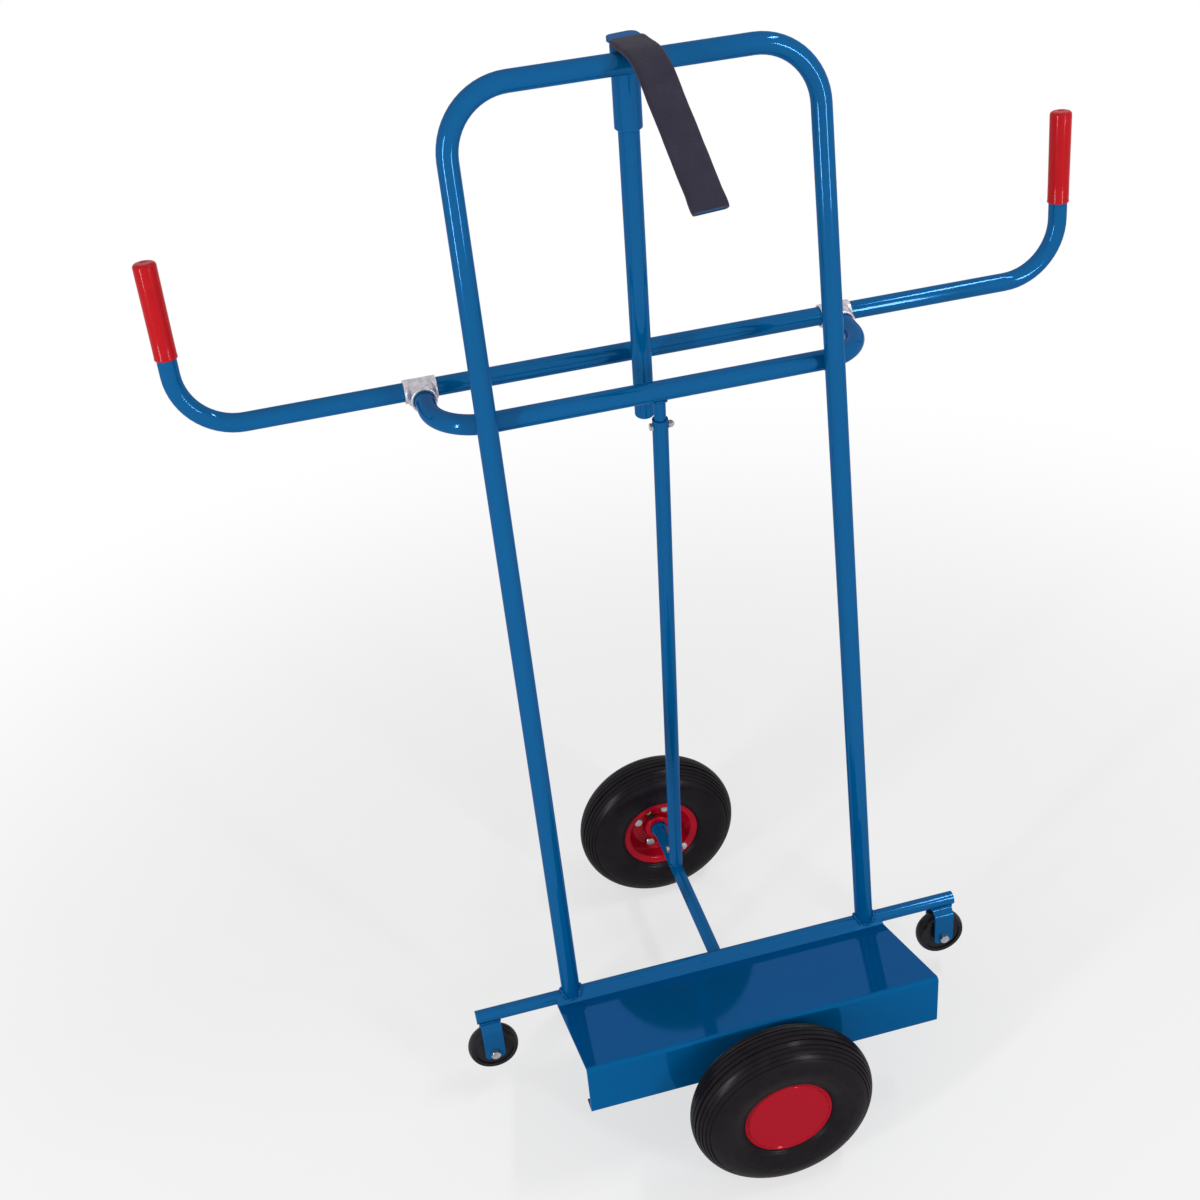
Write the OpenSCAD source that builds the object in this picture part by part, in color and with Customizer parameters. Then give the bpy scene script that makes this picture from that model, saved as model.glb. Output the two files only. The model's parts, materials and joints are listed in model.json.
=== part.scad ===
// Panel cart. Two big wheels stand one behind the other across the cart's middle, so it rolls
// sideways on their shared axle. X runs along the load plate, Y from front to back, Z up.
// The origin is on the floor below the middle of the axle.

/* [Wheels] */
// Outer radius of the tyres
wheel_r = 130; // [125:1:140]
// Width of the tyres
tyre_w = 80; // [74:1:86]
// Distance between the middles of the two wheels
wheel_gap = 614.5; // [600:0.5:700]
// Wall of the tyres
tyre_wall = 6.5; // [5:0.5:8]
// Outer radius of the rims
rim_r = 63.5; // [62:0.5:66]
// Distance from a wheel's middle to its rim's outer edge
rim_half = 28.4; // [27:0.1:31]
// Radius on which the tyre's beads sit
bead_r = 50.8; // [49:0.1:52]
// Sheet thickness of the rims
rim_t = 2; // [1.5:0.1:2.5]
// Radius of the circle of rim bolts
rim_bolt_circle = 35.4; // [33:0.1:38]
// Number of bolts in a rim
rim_bolts = 4; // [3:1:5]
// Angle of the first rim bolt
rim_bolt_turn = 66; // [0:1:89]
// Outer radius of the wheel bearings
bearing_r = 21; // [20:0.5:22]
// Width of one wheel bearing
bearing_w = 12; // [10:0.5:13]
// Number of grooves round a tyre's tread
tread_grooves = 6; // [2:1:8]
// Angle between two grooves, seen from the middle of the tyre's section
groove_step = 20; // [10:1:20]
// Radius of the tyre valve's stem
valve_r = 4; // [3:0.5:5]

/* [Axle and roller bar] */
// Radius of the wheel axle
axle_r = 10; // [9:0.5:12]
// Radius of the round bar that carries the frame and the side rollers
bar_r = 10; // [9:0.5:12]
// Length of that bar
bar_len = 750; // [650:5:900]
// Distance from the front wheel's middle back to the bar
bar_back = 270; // [250:1:300]

/* [Load plate] */
// Length of the load plate along the cart
plate_len = 510; // [480:5:640]
// Distance from the front wheel's middle back to the plate's front flange
plate_back = 56.8; // [50:0.1:70]
// Height of the plate's front edge over the floor
plate_top = 226.8; // [200:0.1:250]
// Sheet thickness of the plate
plate_t = 3; // [2:0.5:4]
// Outer radius of the plate's folds
fold_r = 5; // [4.5:0.5:8]
// Depth of the lip under the plate's front flange
plate_lip = 23; // [15:1:40]
// Hollow radius of the weld between the plate and the bar
plate_weld = 6.4; // [4:0.1:8]

/* [Frame] */
// Radius of the frame's tube
tube_r = 13.45; // [12:0.05:15]
// Wall of the frame's tube
tube_wall = 2.3; // [1.5:0.1:3]
// Half the distance between the uprights' middles
frame_half = 230.4; // [215:0.1:260]
// Height of the frame's top tube
frame_top = 1442; // [1300:1:1600]
// Bend radius of the frame's corners
frame_bend = 81; // [60:1:120]
// Angle by which the frame leans back
frame_lean = 7.23; // [4:0.01:9]

/* [Handle] */
// Height of the handle bar and of the tubes that carry it
handle_z = 1028.5; // [960:0.5:1100]
// Distance from the front wheel's middle back to the handle bar
handle_back = 540; // [525:0.5:580]
// Half the distance between the two tube ends that carry the handle bar
bracket_half = 290; // [275:1:340]
// Bend radius of the bracket that carries the handle bar
bracket_bend = 68; // [50:1:80]
// Radius of the handle bar
handle_r = 12.75; // [12:0.05:15]
// Half the distance between the two grips' middles
grip_half = 611.5; // [560:0.5:680]
// Distance by which the handle bar is pushed to one side in its clamps
handle_shift = 12.8; // [0:0.1:25]
// Bend radius of the handle bar
handle_bend = 79; // [60:1:100]
// Angle by which the handle bar's ends lean back
grip_lean = 4.2; // [0:0.1:10]
// Height of the grips' tops over the handle bar
grip_rise = 227; // [210:1:260]
// Length of a grip
grip_len = 125; // [100:1:130]
// Outer radius of a grip
grip_r = 14.9; // [14.8:0.1:18]
// Length of a tube clamp along the handle bar
clamp_len = 44; // [40:1:60]
// Distance from the handle bar to the face of a clamp's collar
clamp_reach = 37; // [34:1:45]
// Wall of the tube clamps
clamp_wall = 3.2; // [2.5:0.1:5]

/* [Strut] */
// Radius of the strut from the axle to the handle bracket
strut_r = 10.65; // [10:0.05:13]
// Wall of the strut
strut_wall = 2.3; // [1.5:0.1:2.6]
// Distance from the front wheel's middle back to the strut's foot
strut_back = 501; // [480:1:530]
// Height of the strut's open top
strut_top = 986; // [930:1:1000]
// Distance from a strut's end to its cross bolt
strut_bolt_in = 10; // [8:1:20]
// Distance from the axle's middle to the strut's lower cross bolt
strut_foot_bolt = 45; // [35:1:60]

/* [Mast and hold-down arm] */
// Angle by which the mast leans forward
mast_lean = 3.2; // [0:0.1:5]
// Length of the mast from its top down to its lower end
mast_len = 503; // [440:1:700]
// Wall of the sleeve that guides the mast
sleeve_wall = 4; // [3:0.1:6]
// Length of the sleeve under the frame's top tube
sleeve_down = 88; // [60:1:120]
// Length of the sleeve over the middle of the frame's top tube
sleeve_up = 13; // [8:0.5:13.5]
// Height of the stop collar on the mast
collar_h = 4.5; // [3:0.5:5]
// Height of the arm's middle over the middle of the frame's top tube
arm_rise = 21; // [20.5:0.5:30]
// Width of the arm's flat bar
arm_w = 40; // [30:1:50]
// Thickness of the arm's flat bar
arm_t = 5; // [4:0.5:6]
// Length of the arm from the mast to its bend
arm_flat = 71.5; // [60:0.5:120]
// Length of the arm from its bend to its end
arm_drop = 202.3; // [120:1:260]
// Angle by which the arm bends down
arm_angle = 40.4; // [20:0.1:60]
// Bend radius of the arm
arm_bend = 70; // [40:1:90]
// Length of the arm behind the mast's middle
arm_tail = 14; // [14:1:40]
// Angle by which the arm is turned aside
arm_yaw = 8; // [-30:1:30]
// Width of the foam round the arm
foam_w = 46; // [44:1:60]
// Thickness of the foam over and under the arm's bar
foam_t = 2.5; // [2:0.5:2.5]
// Distance from the mast's middle to the start of the foam
foam_start = 10; // [5:1:40]

/* [Side rollers] */
// Radius of the side rollers
roller_r = 37.5; // [34:0.5:38]
// Width of the side rollers
roller_w = 22; // [18:1:24]
// Height of the side rollers' middles over the floor
roller_z = 87; // [84:0.5:90]
// Distance from the end of the bar to the fork's outer side
fork_in = 4; // [0:1:20]
// Width of the fork's strip
fork_w = 30; // [24:1:40]
// Thickness of the fork's strip
fork_t = 4; // [3:0.5:5]
// Distance between the outer faces of a fork's legs
fork_span = 36; // [36:0.5:44]
// Distance from the roller's middle to the lower end of a fork's leg
fork_end = 10; // [9:1:14]

/* [Fasteners] */
// Thread radius of the roller, rim and set screws
bolt_r = 4; // [3:0.5:5]
// Thread radius of the strut's cross bolts
cross_r = 3; // [2.5:0.5:4]
// Height of a bolt head as a share of its thread radius
head_k = 1.3; // [1:0.1:1.5]

/* [Hidden] */
$fn = 96;
eps = 0.02;
play = 0.08;
seat = 0.1;
axle_z = wheel_r;
bar_z = axle_z + axle_r + bar_r;
origin_y = wheel_gap / 2;
front_y = 0 - origin_y;
rear_y = wheel_gap - origin_y;
bar_y = bar_back - origin_y;
tyre_c = wheel_r - tyre_w / 2;
tyre_b = tyre_w / 2;
edge_r = 2;
flange_z = rim_half - edge_r;
groove_r = 1.5;
side_line_r = 0.8;
side_line_at = 95;
bearing_in = 0.5;
dome_z = bearing_in + bearing_w + seat + rim_t;
dome_open = 14;
cap_t = 0.8;
cap_gap = 0.3;
cap_skirt = 9;
cap_skirt_t = 3;
bead_t = 8;
bead_h = 14;
tube_t = 2;
valve_tip = 24;
valve_z = 9;
valve_turn = 113;
axle_out = dome_z + 6;
collar_t = 5;
washer_t = 1.5;
ring_t = 1.8;
foot_gap = 2;
plate_meet = 27;
weld_edge = 0.3;
lean_len = (frame_top - bar_z) / cos(frame_lean);
top_y = bar_y + (frame_top - bar_z) * tan(frame_lean);
bracket_y = bar_y + (handle_z - bar_z) * tan(frame_lean) + (2 * tube_r - seat) / cos(frame_lean);
handle_y = handle_back - origin_y;
socket_end = handle_y - handle_r - 2;
strut_y = strut_back - origin_y;
strut_lean = atan2(strut_y - bracket_y, handle_z - axle_z);
strut_rim = (strut_top - axle_z) / cos(strut_lean);
strut_foot = axle_r + 4;
stub_r = strut_r - strut_wall - 0.35;
stub_in = 80;
strut_bolts_at = [strut_foot_bolt, strut_rim - strut_bolt_in];
clamp_bosses = [[-10, 0], [0, 9 - clamp_reach]];
sleeve_r = tube_r + play + sleeve_wall;
mast_y = top_y + (tube_r + sleeve_r + eps) / cos(mast_lean);
arm_under = arm_rise - arm_t / 2;
spigot_len = 25;
mast_end = arm_under - mast_len;
plug_h = 4.5;
plug_round = 4;
plug_in = 15;
collar_wall = 1.6;
roller_x = bar_len / 2 - fork_in - fork_w / 2;
bush_r = bolt_r + 2;
fork_in_span = fork_span - 2 * fork_t;
crown_half = 8;
leg_corner = 8;
roller_rim = 9;
roller_hub_wall = 5;
roller_side = 2;
thread = 0.1;
hex_k = 1.625;

// A hexagon of width af across its flats
module hexagon(af, h) {
    cylinder(h = h, r = af / sqrt(3), $fn = 6);
}

// A hexagon head with its top edges turned off
module hex_head(af, h) {
    intersection() {
        hexagon(af, h);
        cylinder(h = h, r1 = af / 2 + h, r2 = af / 2);
    }
}

// A hex bolt whose head stands on z = 0 and whose shank goes down
module hex_bolt(r, len) {
    hex_head(2 * hex_k * r, head_k * r);
    translate([0, 0, -len]) cylinder(h = len, r = r);
}

// A nut that stands on z = 0
module hex_nut(r, h) {
    difference() {
        hex_head(2 * hex_k * r, h);
        translate([0, 0, -1]) cylinder(h = h + 2, r = r + eps);
    }
}

// A nut with a closed dome, standing on z = 0
module dome_nut(r) {
    low = 1.6 * r;
    difference() {
        union() {
            hexagon(2 * hex_k * r, low);
            intersection() {
                translate([0, 0, low - 0.2 * r]) sphere(r = 1.45 * r);
                translate([0, 0, low - eps]) cylinder(h = 2 * r, r = 2 * r);
            }
        }
        translate([0, 0, -1]) cylinder(h = low + 1 + 0.4 * r, r = r + eps);
    }
}

function unit(v) = v / norm(v);
function left(v) = [-v[1], v[0]];
function turned(v, a) = [v[0] * cos(a) - v[1] * sin(a), v[0] * sin(a) + v[1] * cos(a)];
function turn(a, b) = atan2(a[0] * b[1] - a[1] * b[0], a * b);

// One side, at distance d, of a strip that follows the points path with bend radius r
function strip_side(path, r, d) = concat(
    [path[0] + d * left(unit(path[1] - path[0]))],
    [for (i = [1:1:len(path) - 2])
        let (u = unit(path[i] - path[i - 1]),
             a = turn(u, unit(path[i + 1] - path[i])),
             s = sign(a),
             c = path[i] - u * r * tan(abs(a) / 2) + left(u) * s * r)
        for (k = [0:1:12]) c - turned(left(u) * s, a * k / 12) * (r - s * d)],
    [path[len(path) - 1] + d * left(unit(path[len(path) - 1] - path[len(path) - 2]))]
);

// Section of a bent strip of thickness t
module strip(path, r, t) {
    back = strip_side(path, r, -t / 2);
    polygon(concat(strip_side(path, r, t / 2), [for (i = [len(back) - 1:-1:0]) back[i]]));
}

// Extrudes a section drawn in Y and Z along X, w wide about x = 0
module along_x(w) {
    rotate([90, 0, 90]) translate([0, 0, -w / 2]) linear_extrude(height = w) children();
}

// Places children at a wheel: z points along the axle to the back for side 1 and to the front
// for side -1, and every angle is counted as seen from the front
module at_wheel(y, side) {
    translate([0, y, axle_z]) rotate([90, 0, 0]) mirror([0, 0, side > 0 ? 1 : 0]) children();
}

module ring(r_in, r_out, z, h) {
    translate([0, 0, z]) difference() {
        cylinder(h = h, r = r_out);
        translate([0, 0, -1]) cylinder(h = h + 2, r = r_in);
    }
}

module torus(r_mid, r, z = 0) {
    translate([0, 0, z]) rotate_extrude() translate([r_mid, 0]) circle(r = r);
}

module on_rim_circle() {
    for (i = [0:1:rim_bolts - 1])
        rotate([0, 0, rim_bolt_turn + i * 360 / rim_bolts]) translate([rim_bolt_circle, 0, 0]) children();
}

// A tyre with its grooves, its beads and the room for its inner tube
module tyre_shape() {
    reach = groove_step * (tread_grooves - 1) / 2;
    difference() {
        union() {
            torus(tyre_c, tyre_b);
            ring(bead_r, bead_r + bead_h, seat - flange_z + edge_r, 2 * (flange_z - edge_r - seat));
        }
        torus(tyre_c, tyre_b - tyre_wall);
        ring(0, bead_r + bead_h, bead_t - flange_z + edge_r, 2 * (flange_z - edge_r - bead_t));
        for (s = [-1, 1]) {
            translate([0, 0, s > 0 ? flange_z - edge_r - seat : -tyre_w]) ring(0, rim_r + 0.4, 0,
                tyre_w - (flange_z - edge_r - seat));
            torus(tyre_c + tyre_b * cos(side_line_at), side_line_r, s * tyre_b * sin(side_line_at));
        }
        for (a = [-reach:groove_step:reach])
            torus(tyre_c + tyre_b * cos(a), groove_r, tyre_b * sin(a));
    }
}

// The inner tube with its valve stem through the inner half of the rim
module inner_tube_shape() {
    tube_out = tyre_b - tyre_wall - seat;
    difference() {
        union() {
            torus(tyre_c, tube_out);
            rotate([0, 0, valve_turn]) translate([valve_tip, 0, -valve_z]) rotate([0, 90, 0])
                cylinder(h = tyre_c - tube_out - valve_tip + tube_t, r = valve_r);
        }
        torus(tyre_c, tube_out - tube_t);
    }
}

// One half of a rim; its flat middle lies on z = 0
module rim_shape(with_valve) {
    difference() {
        union() {
            ring(bearing_r, bead_r, 0, rim_t);
            ring(bearing_r, bearing_r + rim_t, 0, dome_z);
            ring(dome_open, bearing_r + rim_t, dome_z - rim_t, rim_t);
            ring(bead_r - rim_t, bead_r, 0, flange_z + rim_t / 2);
            ring(bead_r - rim_t, rim_r - edge_r, flange_z - rim_t / 2, rim_t);
            torus(rim_r - edge_r, edge_r, flange_z);
        }
        on_rim_circle() translate([0, 0, -1]) cylinder(h = rim_t + 2, r = bolt_r + thread);
        if (with_valve)
            rotate([0, 0, valve_turn]) translate([bead_r - 2 * rim_t, 0, valve_z]) rotate([0, 90, 0])
                cylinder(h = 4 * rim_t, r = valve_r + thread);
    }
}

module bearing_shape() {
    difference() {
        ring(axle_r + play / 2, bearing_r - eps, bearing_in, bearing_w);
        ring(axle_r + 3, bearing_r - 3, bearing_in + bearing_w - 0.4, 1);
    }
}

// The flat disc that closes a rim's outer side
module cap_shape() {
    face = flange_z + rim_t / 2;
    skirt_r = bead_r - rim_t - seat;
    translate([0, 0, face]) cylinder(h = cap_t, r = rim_r - 2 * edge_r - cap_gap);
    ring(skirt_r - cap_skirt_t, skirt_r, face - cap_skirt, cap_skirt + eps);
}

module rim_bolts_shape() {
    on_rim_circle() translate([0, 0, -rim_t]) rotate([180, 0, 0]) hex_bolt(bolt_r, 2 * rim_t + 2 * bolt_r);
}

module rim_nuts_shape() {
    on_rim_circle() translate([0, 0, rim_t]) hex_nut(bolt_r, 1.6 * bolt_r);
}

// A solid rod along the two uprights and the top of the frame
module frame_rod(r, over) {
    straight = lean_len - frame_bend;
    for (s = [-1, 1]) {
        translate([s * frame_half, 0, -over]) cylinder(h = straight + over, r = r);
        translate([s * (frame_half - frame_bend), 0, straight]) rotate([90, 0, 0]) mirror([s > 0 ? 0 : 1, 0, 0])
            rotate_extrude(angle = 90) translate([frame_bend, 0]) circle(r = r);
    }
    translate([frame_bend - frame_half, 0, lean_len]) rotate([0, 90, 0])
        cylinder(h = 2 * (frame_half - frame_bend), r = r);
}

module back_frame() color("#005aa0") {
    translate([0, bar_y, bar_z]) rotate([-frame_lean, 0, 0]) difference() {
        frame_rod(tube_r, 0);
        frame_rod(tube_r - tube_wall, 1);
        translate([-bar_len / 2, 0, 0]) rotate([0, 90, 0]) cylinder(h = bar_len, r = bar_r + eps);
        translate([-bar_len / 2, -2 * tube_r, -2 * tube_r]) cube([bar_len, 4 * tube_r, 2 * tube_r + foot_gap]);
    }
}

module roller_bar() color("#005aa0") {
    translate([-bar_len / 2, bar_y, bar_z]) rotate([0, 90, 0]) cylinder(h = bar_len, r = bar_r);
}

module axle() color("#005aa0") {
    translate([0, front_y - axle_out, axle_z]) rotate([-90, 0, 0])
        cylinder(h = wheel_gap + 2 * axle_out, r = axle_r);
}

// Section of the weld that fills the crease between the bar and the plate's back edge
module plate_weld_section(slope, drop) {
    bar = [bar_y, bar_z];
    up = [sin(slope), cos(slope)];
    ahead = [-cos(slope), sin(slope)];
    reach = sqrt(pow(bar_r + plate_weld, 2) - pow(plate_weld - drop, 2));
    toe = bar + reach * ahead - drop * up;
    hollow = toe + plate_weld * up;
    into = plate_t / 2 * up;
    difference() {
        polygon([toe - into, toe, hollow, bar, bar - drop * up - into]);
        translate(hollow) circle(r = plate_weld - weld_edge);
        translate(bar) circle(r = bar_r + eps);
    }
}

// The plate is one sheet: a slope up to the front, a flange down and a lip back to the axle
module load_plate() color("#005aa0") {
    touch = bar_r + weld_edge;
    edge = [bar_y - touch * cos(plate_meet), bar_z - touch * sin(plate_meet)];
    front = plate_back - origin_y;
    slope = atan2(plate_top - edge[1], edge[0] - front);
    h = plate_t / 2;
    low = axle_z + axle_r + h;
    back = edge - h * [sin(slope), cos(slope)];
    fold_z = back[1] + (back[0] - front - h) * tan(slope);
    path = [back, [front + h, fold_z], [front + h, low], [front + plate_lip, low]];
    along_x(plate_len) {
        strip(path, fold_r - h, plate_t);
        plate_weld_section(slope, touch * sin(plate_meet + slope));
    }
}

// The fork is a strip bent over the roller, welded under the bar
module fork_shape() {
    top = bar_z - bar_r - fork_t / 2;
    leg = (fork_span - fork_t) / 2;
    low = roller_z - fork_end;
    path = [[-leg, low], [-leg, top - leg + crown_half], [-crown_half, top],
            [crown_half, top], [leg, top - leg + crown_half], [leg, low]];
    translate([0, bar_y, 0]) difference() {
        intersection() {
            along_x(fork_w) strip(path, fork_t, fork_t);
            union() {
                translate([-fork_w / 2, -fork_span, low + leg_corner])
                    cube([fork_w, 2 * fork_span, bar_z]);
                translate([leg_corner - fork_w / 2, -fork_span, low])
                    cube([fork_w - 2 * leg_corner, 2 * fork_span, bar_z]);
                for (s = [-1, 1])
                    translate([s * (fork_w / 2 - leg_corner), -fork_span, low + leg_corner])
                        rotate([-90, 0, 0]) cylinder(h = 2 * fork_span, r = leg_corner);
            }
        }
        translate([0, -fork_span, roller_z]) rotate([-90, 0, 0])
            cylinder(h = 2 * fork_span, r = bolt_r + thread);
    }
}

// Places children at a side roller, with z pointing forward along the bolt
module at_roller(side) {
    translate([side * roller_x, bar_y, roller_z]) rotate([90, 0, 0]) children();
}

module roller_bolt_shape() {
    translate([0, 0, fork_span / 2]) hex_bolt(bolt_r, fork_span + 2.5 * bolt_r);
}

module roller_nut_shape() {
    translate([0, 0, -fork_span / 2]) rotate([180, 0, 0]) hex_nut(bolt_r, 1.6 * bolt_r);
}

module roller_bush_shape() {
    ring(bolt_r + thread, bush_r, eps - fork_in_span / 2, fork_in_span - 2 * eps);
}

// A crowned roller on its hub, with its sides hollowed out
module roller_shape() {
    crown = roller_w * 0.9;
    hub = fork_in_span - 1;
    hub_r = bush_r + roller_hub_wall;
    web = roller_w - 2 * roller_side;
    rotate_extrude() difference() {
        union() {
            intersection() {
                translate([roller_r - crown, 0]) circle(r = crown);
                translate([roller_r - roller_rim, -roller_w / 2]) square([2 * roller_rim, roller_w]);
            }
            translate([hub_r - 1, -web / 2]) square([roller_r - hub_r - roller_rim / 2, web]);
            translate([0, -hub / 2]) square([hub_r, hub]);
        }
        translate([-roller_r, -hub]) square([roller_r + bush_r + play, 2 * hub]);
    }
}

// Collars that are welded to the axle on the inner side of each wheel
module axle_collars() color("#005aa0") {
    for (w = [[front_y, -1], [rear_y, 1]])
        at_wheel(w[0], w[1]) ring(axle_r + eps, axle_r + 3, -dome_z - seat - collar_t, collar_t);
}

module axle_washers() color("silver") {
    for (w = [[front_y, -1], [rear_y, 1]])
        at_wheel(w[0], w[1]) ring(axle_r + eps, axle_r + 6, dome_z + seat, washer_t);
}

module axle_rings() color("silver") {
    for (w = [[front_y, -1], [rear_y, 1]])
        at_wheel(w[0], w[1]) ring(axle_r + eps, axle_r + 3, dome_z + 2 * seat + washer_t, ring_t);
}

// Places children on the strut's middle line, with z up along it from the axle
module on_strut() {
    translate([0, strut_y, axle_z]) rotate([strut_lean, 0, 0]) children();
}

module strut() color("#005aa0") {
    on_strut() difference() {
        translate([0, 0, strut_foot]) cylinder(h = strut_rim - strut_foot, r = strut_r);
        cylinder(h = 2 * strut_rim, r = strut_r - strut_wall);
        for (z = strut_bolts_at)
            translate([-2 * strut_r, 0, z]) rotate([0, 90, 0]) cylinder(h = 4 * strut_r, r = cross_r + thread);
    }
}

// A solid stub in one end of the strut, drilled for the cross bolt
module stub_shape(from, to, bolt) {
    difference() {
        translate([0, 0, from]) cylinder(h = to - from, r = stub_r);
        translate([-2 * strut_r, 0, bolt]) rotate([0, 90, 0]) cylinder(h = 4 * strut_r, r = cross_r + thread);
    }
}

module strut_foot_stub() color("#005aa0") {
    difference() {
        on_strut() stub_shape(0, strut_foot + stub_in, strut_foot_bolt);
        translate([0, 0, axle_z]) rotate([90, 0, 0]) cylinder(h = 4 * wheel_gap, r = axle_r + eps, center = true);
    }
}

module strut_head_stub() color("#005aa0") {
    difference() {
        on_strut() stub_shape(strut_rim - stub_in, (handle_z - axle_z) / cos(strut_lean),
            strut_rim - strut_bolt_in);
        translate([0, bracket_y, handle_z]) rotate([0, 90, 0])
            cylinder(h = 2 * frame_half, r = tube_r + eps, center = true);
    }
}

module strut_bolts() color("silver") {
    for (z = strut_bolts_at)
        on_strut() translate([-strut_r, 0, z]) rotate([0, -90, 0]) hex_bolt(cross_r, 2 * strut_r + 1.6 * cross_r);
}

module strut_nuts() color("silver") {
    for (z = strut_bolts_at)
        on_strut() translate([strut_r, 0, z]) rotate([0, 90, 0]) dome_nut(cross_r);
}

// A solid rod along the bracket that carries the handle bar
module bracket_rod(r, over) {
    straight = bracket_half - bracket_bend;
    leg = socket_end - bracket_y - bracket_bend;
    translate([-straight, 0, 0]) rotate([0, 90, 0]) cylinder(h = 2 * straight, r = r);
    for (s = [-1, 1]) mirror([s > 0 ? 0 : 1, 0, 0]) {
        translate([straight, bracket_bend, 0]) rotate([0, 0, -90])
            rotate_extrude(angle = 90) translate([bracket_bend, 0]) circle(r = r);
        translate([bracket_half, bracket_bend, 0]) rotate([-90, 0, 0]) cylinder(h = leg + over, r = r);
    }
}

module handle_bracket() color("#005aa0") {
    translate([0, bracket_y, handle_z]) difference() {
        bracket_rod(tube_r, 0);
        bracket_rod(tube_r - tube_wall, 1);
    }
}

// A tee clamp: its run holds the handle bar along X, its collar faces forward
module clamp_shape() {
    run_r = handle_r + clamp_wall;
    collar_r = tube_r + clamp_wall;
    boss_r = bolt_r + 3;
    lip = 5;
    difference() {
        union() {
            translate([-clamp_len / 2, 0, 0]) rotate([0, 90, 0]) cylinder(h = clamp_len, r = run_r);
            rotate([90, 0, 0]) cylinder(h = clamp_reach, r = collar_r);
            translate([0, lip - clamp_reach, 0]) rotate([90, 0, 0]) cylinder(h = lip, r = collar_r + 1);
            intersection() {
                rotate([90, 0, 0]) cylinder(h = clamp_reach - lip, r1 = clamp_len / 2, r2 = collar_r);
                cube([clamp_len, 2 * clamp_reach, 2 * run_r], center = true);
            }
            for (p = clamp_bosses) translate([p[0], p[1], -run_r - 4]) cylinder(h = run_r, r = boss_r);
        }
        translate([-clamp_len, 0, 0]) rotate([0, 90, 0]) cylinder(h = 2 * clamp_len, r = handle_r + eps);
        rotate([90, 0, 0]) cylinder(h = 2 * clamp_reach, r = tube_r + eps);
        for (p = clamp_bosses)
            translate([p[0], p[1], -2 * run_r]) cylinder(h = 2 * run_r, r = bolt_r + thread);
    }
}

// The two set screws of a clamp, one on the handle bar and one on the bracket's tube
module set_screws_shape() {
    run_r = handle_r + clamp_wall;
    for (i = [0, 1]) {
        p = clamp_bosses[i];
        grip = i == 0 ? handle_r : tube_r;
        difference() {
            translate([p[0], p[1], -run_r - 5]) cylinder(h = run_r + 5 - grip - seat, r = bolt_r);
            translate([p[0], p[1], -run_r - 6]) cylinder(h = 4, r = bolt_r / 2, $fn = 6);
        }
    }
}

module at_clamp(side) {
    translate([side * bracket_half, handle_y, handle_z]) children();
}

// A solid rod along the handle bar
module handle_rod(r, rise) {
    straight = grip_half - handle_bend;
    translate([-straight, 0, 0]) rotate([0, 90, 0]) cylinder(h = 2 * straight, r = r);
    for (s = [-1, 1]) mirror([s > 0 ? 0 : 1, 0, 0]) {
        translate([straight, 0, handle_bend]) rotate([90, 0, 0]) rotate([0, 0, -90])
            rotate_extrude(angle = 90) translate([handle_bend, 0]) circle(r = r);
        translate([grip_half, 0, handle_bend]) cylinder(h = rise - handle_bend, r = r);
    }
}

module on_handle() {
    translate([handle_shift, handle_y, handle_z]) rotate([-grip_lean, 0, 0]) children();
}

module handle_bar() color("#005aa0") {
    rise = grip_rise - 5;
    on_handle() difference() {
        handle_rod(handle_r, rise);
        handle_rod(handle_r - tube_wall, rise + 1);
    }
}

// A grip is closed at its top and rounded at both ends
module grip_shape() {
    round = 4;
    translate([0, 0, grip_rise - grip_len]) difference() {
        rotate_extrude() {
            difference() {
                union() {
                    square([grip_r - round, grip_len]);
                    translate([0, 1.5]) square([grip_r, grip_len - round - 1.5]);
                    translate([grip_r - round, grip_len - round]) circle(r = round, $fn = 48);
                    square([grip_r - 1.5, grip_len - round]);
                    translate([grip_r - 1.5, 1.5]) circle(r = 1.5, $fn = 24);
                }
                translate([-grip_r, -1]) square([grip_r, grip_len + 2]);
            }
        }
        translate([0, 0, -1]) cylinder(h = grip_len - 4, r = handle_r + eps);
    }
}

// Places children on the mast's middle line, with z = 0 level with the frame's top tube
module on_mast() {
    translate([0, mast_y, frame_top]) rotate([mast_lean, 0, 0]) children();
}

module mast_sleeve() color("#005aa0") {
    on_mast() difference() {
        translate([0, 0, -sleeve_down]) union() {
            cylinder(h = 1, r1 = sleeve_r - 1, r2 = sleeve_r);
            translate([0, 0, 1]) cylinder(h = sleeve_down + sleeve_up - 1, r = sleeve_r);
        }
        translate([0, 0, -2 * sleeve_down]) cylinder(h = 4 * sleeve_down, r = tube_r + play);
    }
}

module mast() color("#005aa0") {
    on_mast() ring(tube_r - tube_wall, tube_r, mast_end, mast_len - eps);
}

module mast_collar() color("#005aa0") {
    on_mast() ring(tube_r + eps, tube_r + collar_wall, sleeve_up + seat, collar_h);
}

// The cap with a rounded edge that closes the mast's lower end
module mast_plug() color("#005aa0") {
    on_mast() translate([0, 0, mast_end - plug_h]) rotate_extrude() difference() {
        union() {
            square([tube_r - plug_round, plug_h]);
            translate([0, plug_round]) square([tube_r, plug_h - plug_round]);
            translate([tube_r - plug_round, plug_round]) circle(r = plug_round);
            square([tube_r - tube_wall - seat, plug_h + plug_in]);
        }
        translate([0, plug_h]) difference() {
            square([2 * tube_r, plug_round]);
            square([tube_r - tube_wall - seat, plug_round]);
        }
        translate([-2 * tube_r, -plug_h]) square([2 * tube_r, 4 * plug_h + plug_in]);
    }
}

// Places children on the arm: x runs out along it, z up, from the mast's middle line
module on_arm() {
    on_mast() rotate([0, 0, arm_yaw - 90]) children();
}

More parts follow.
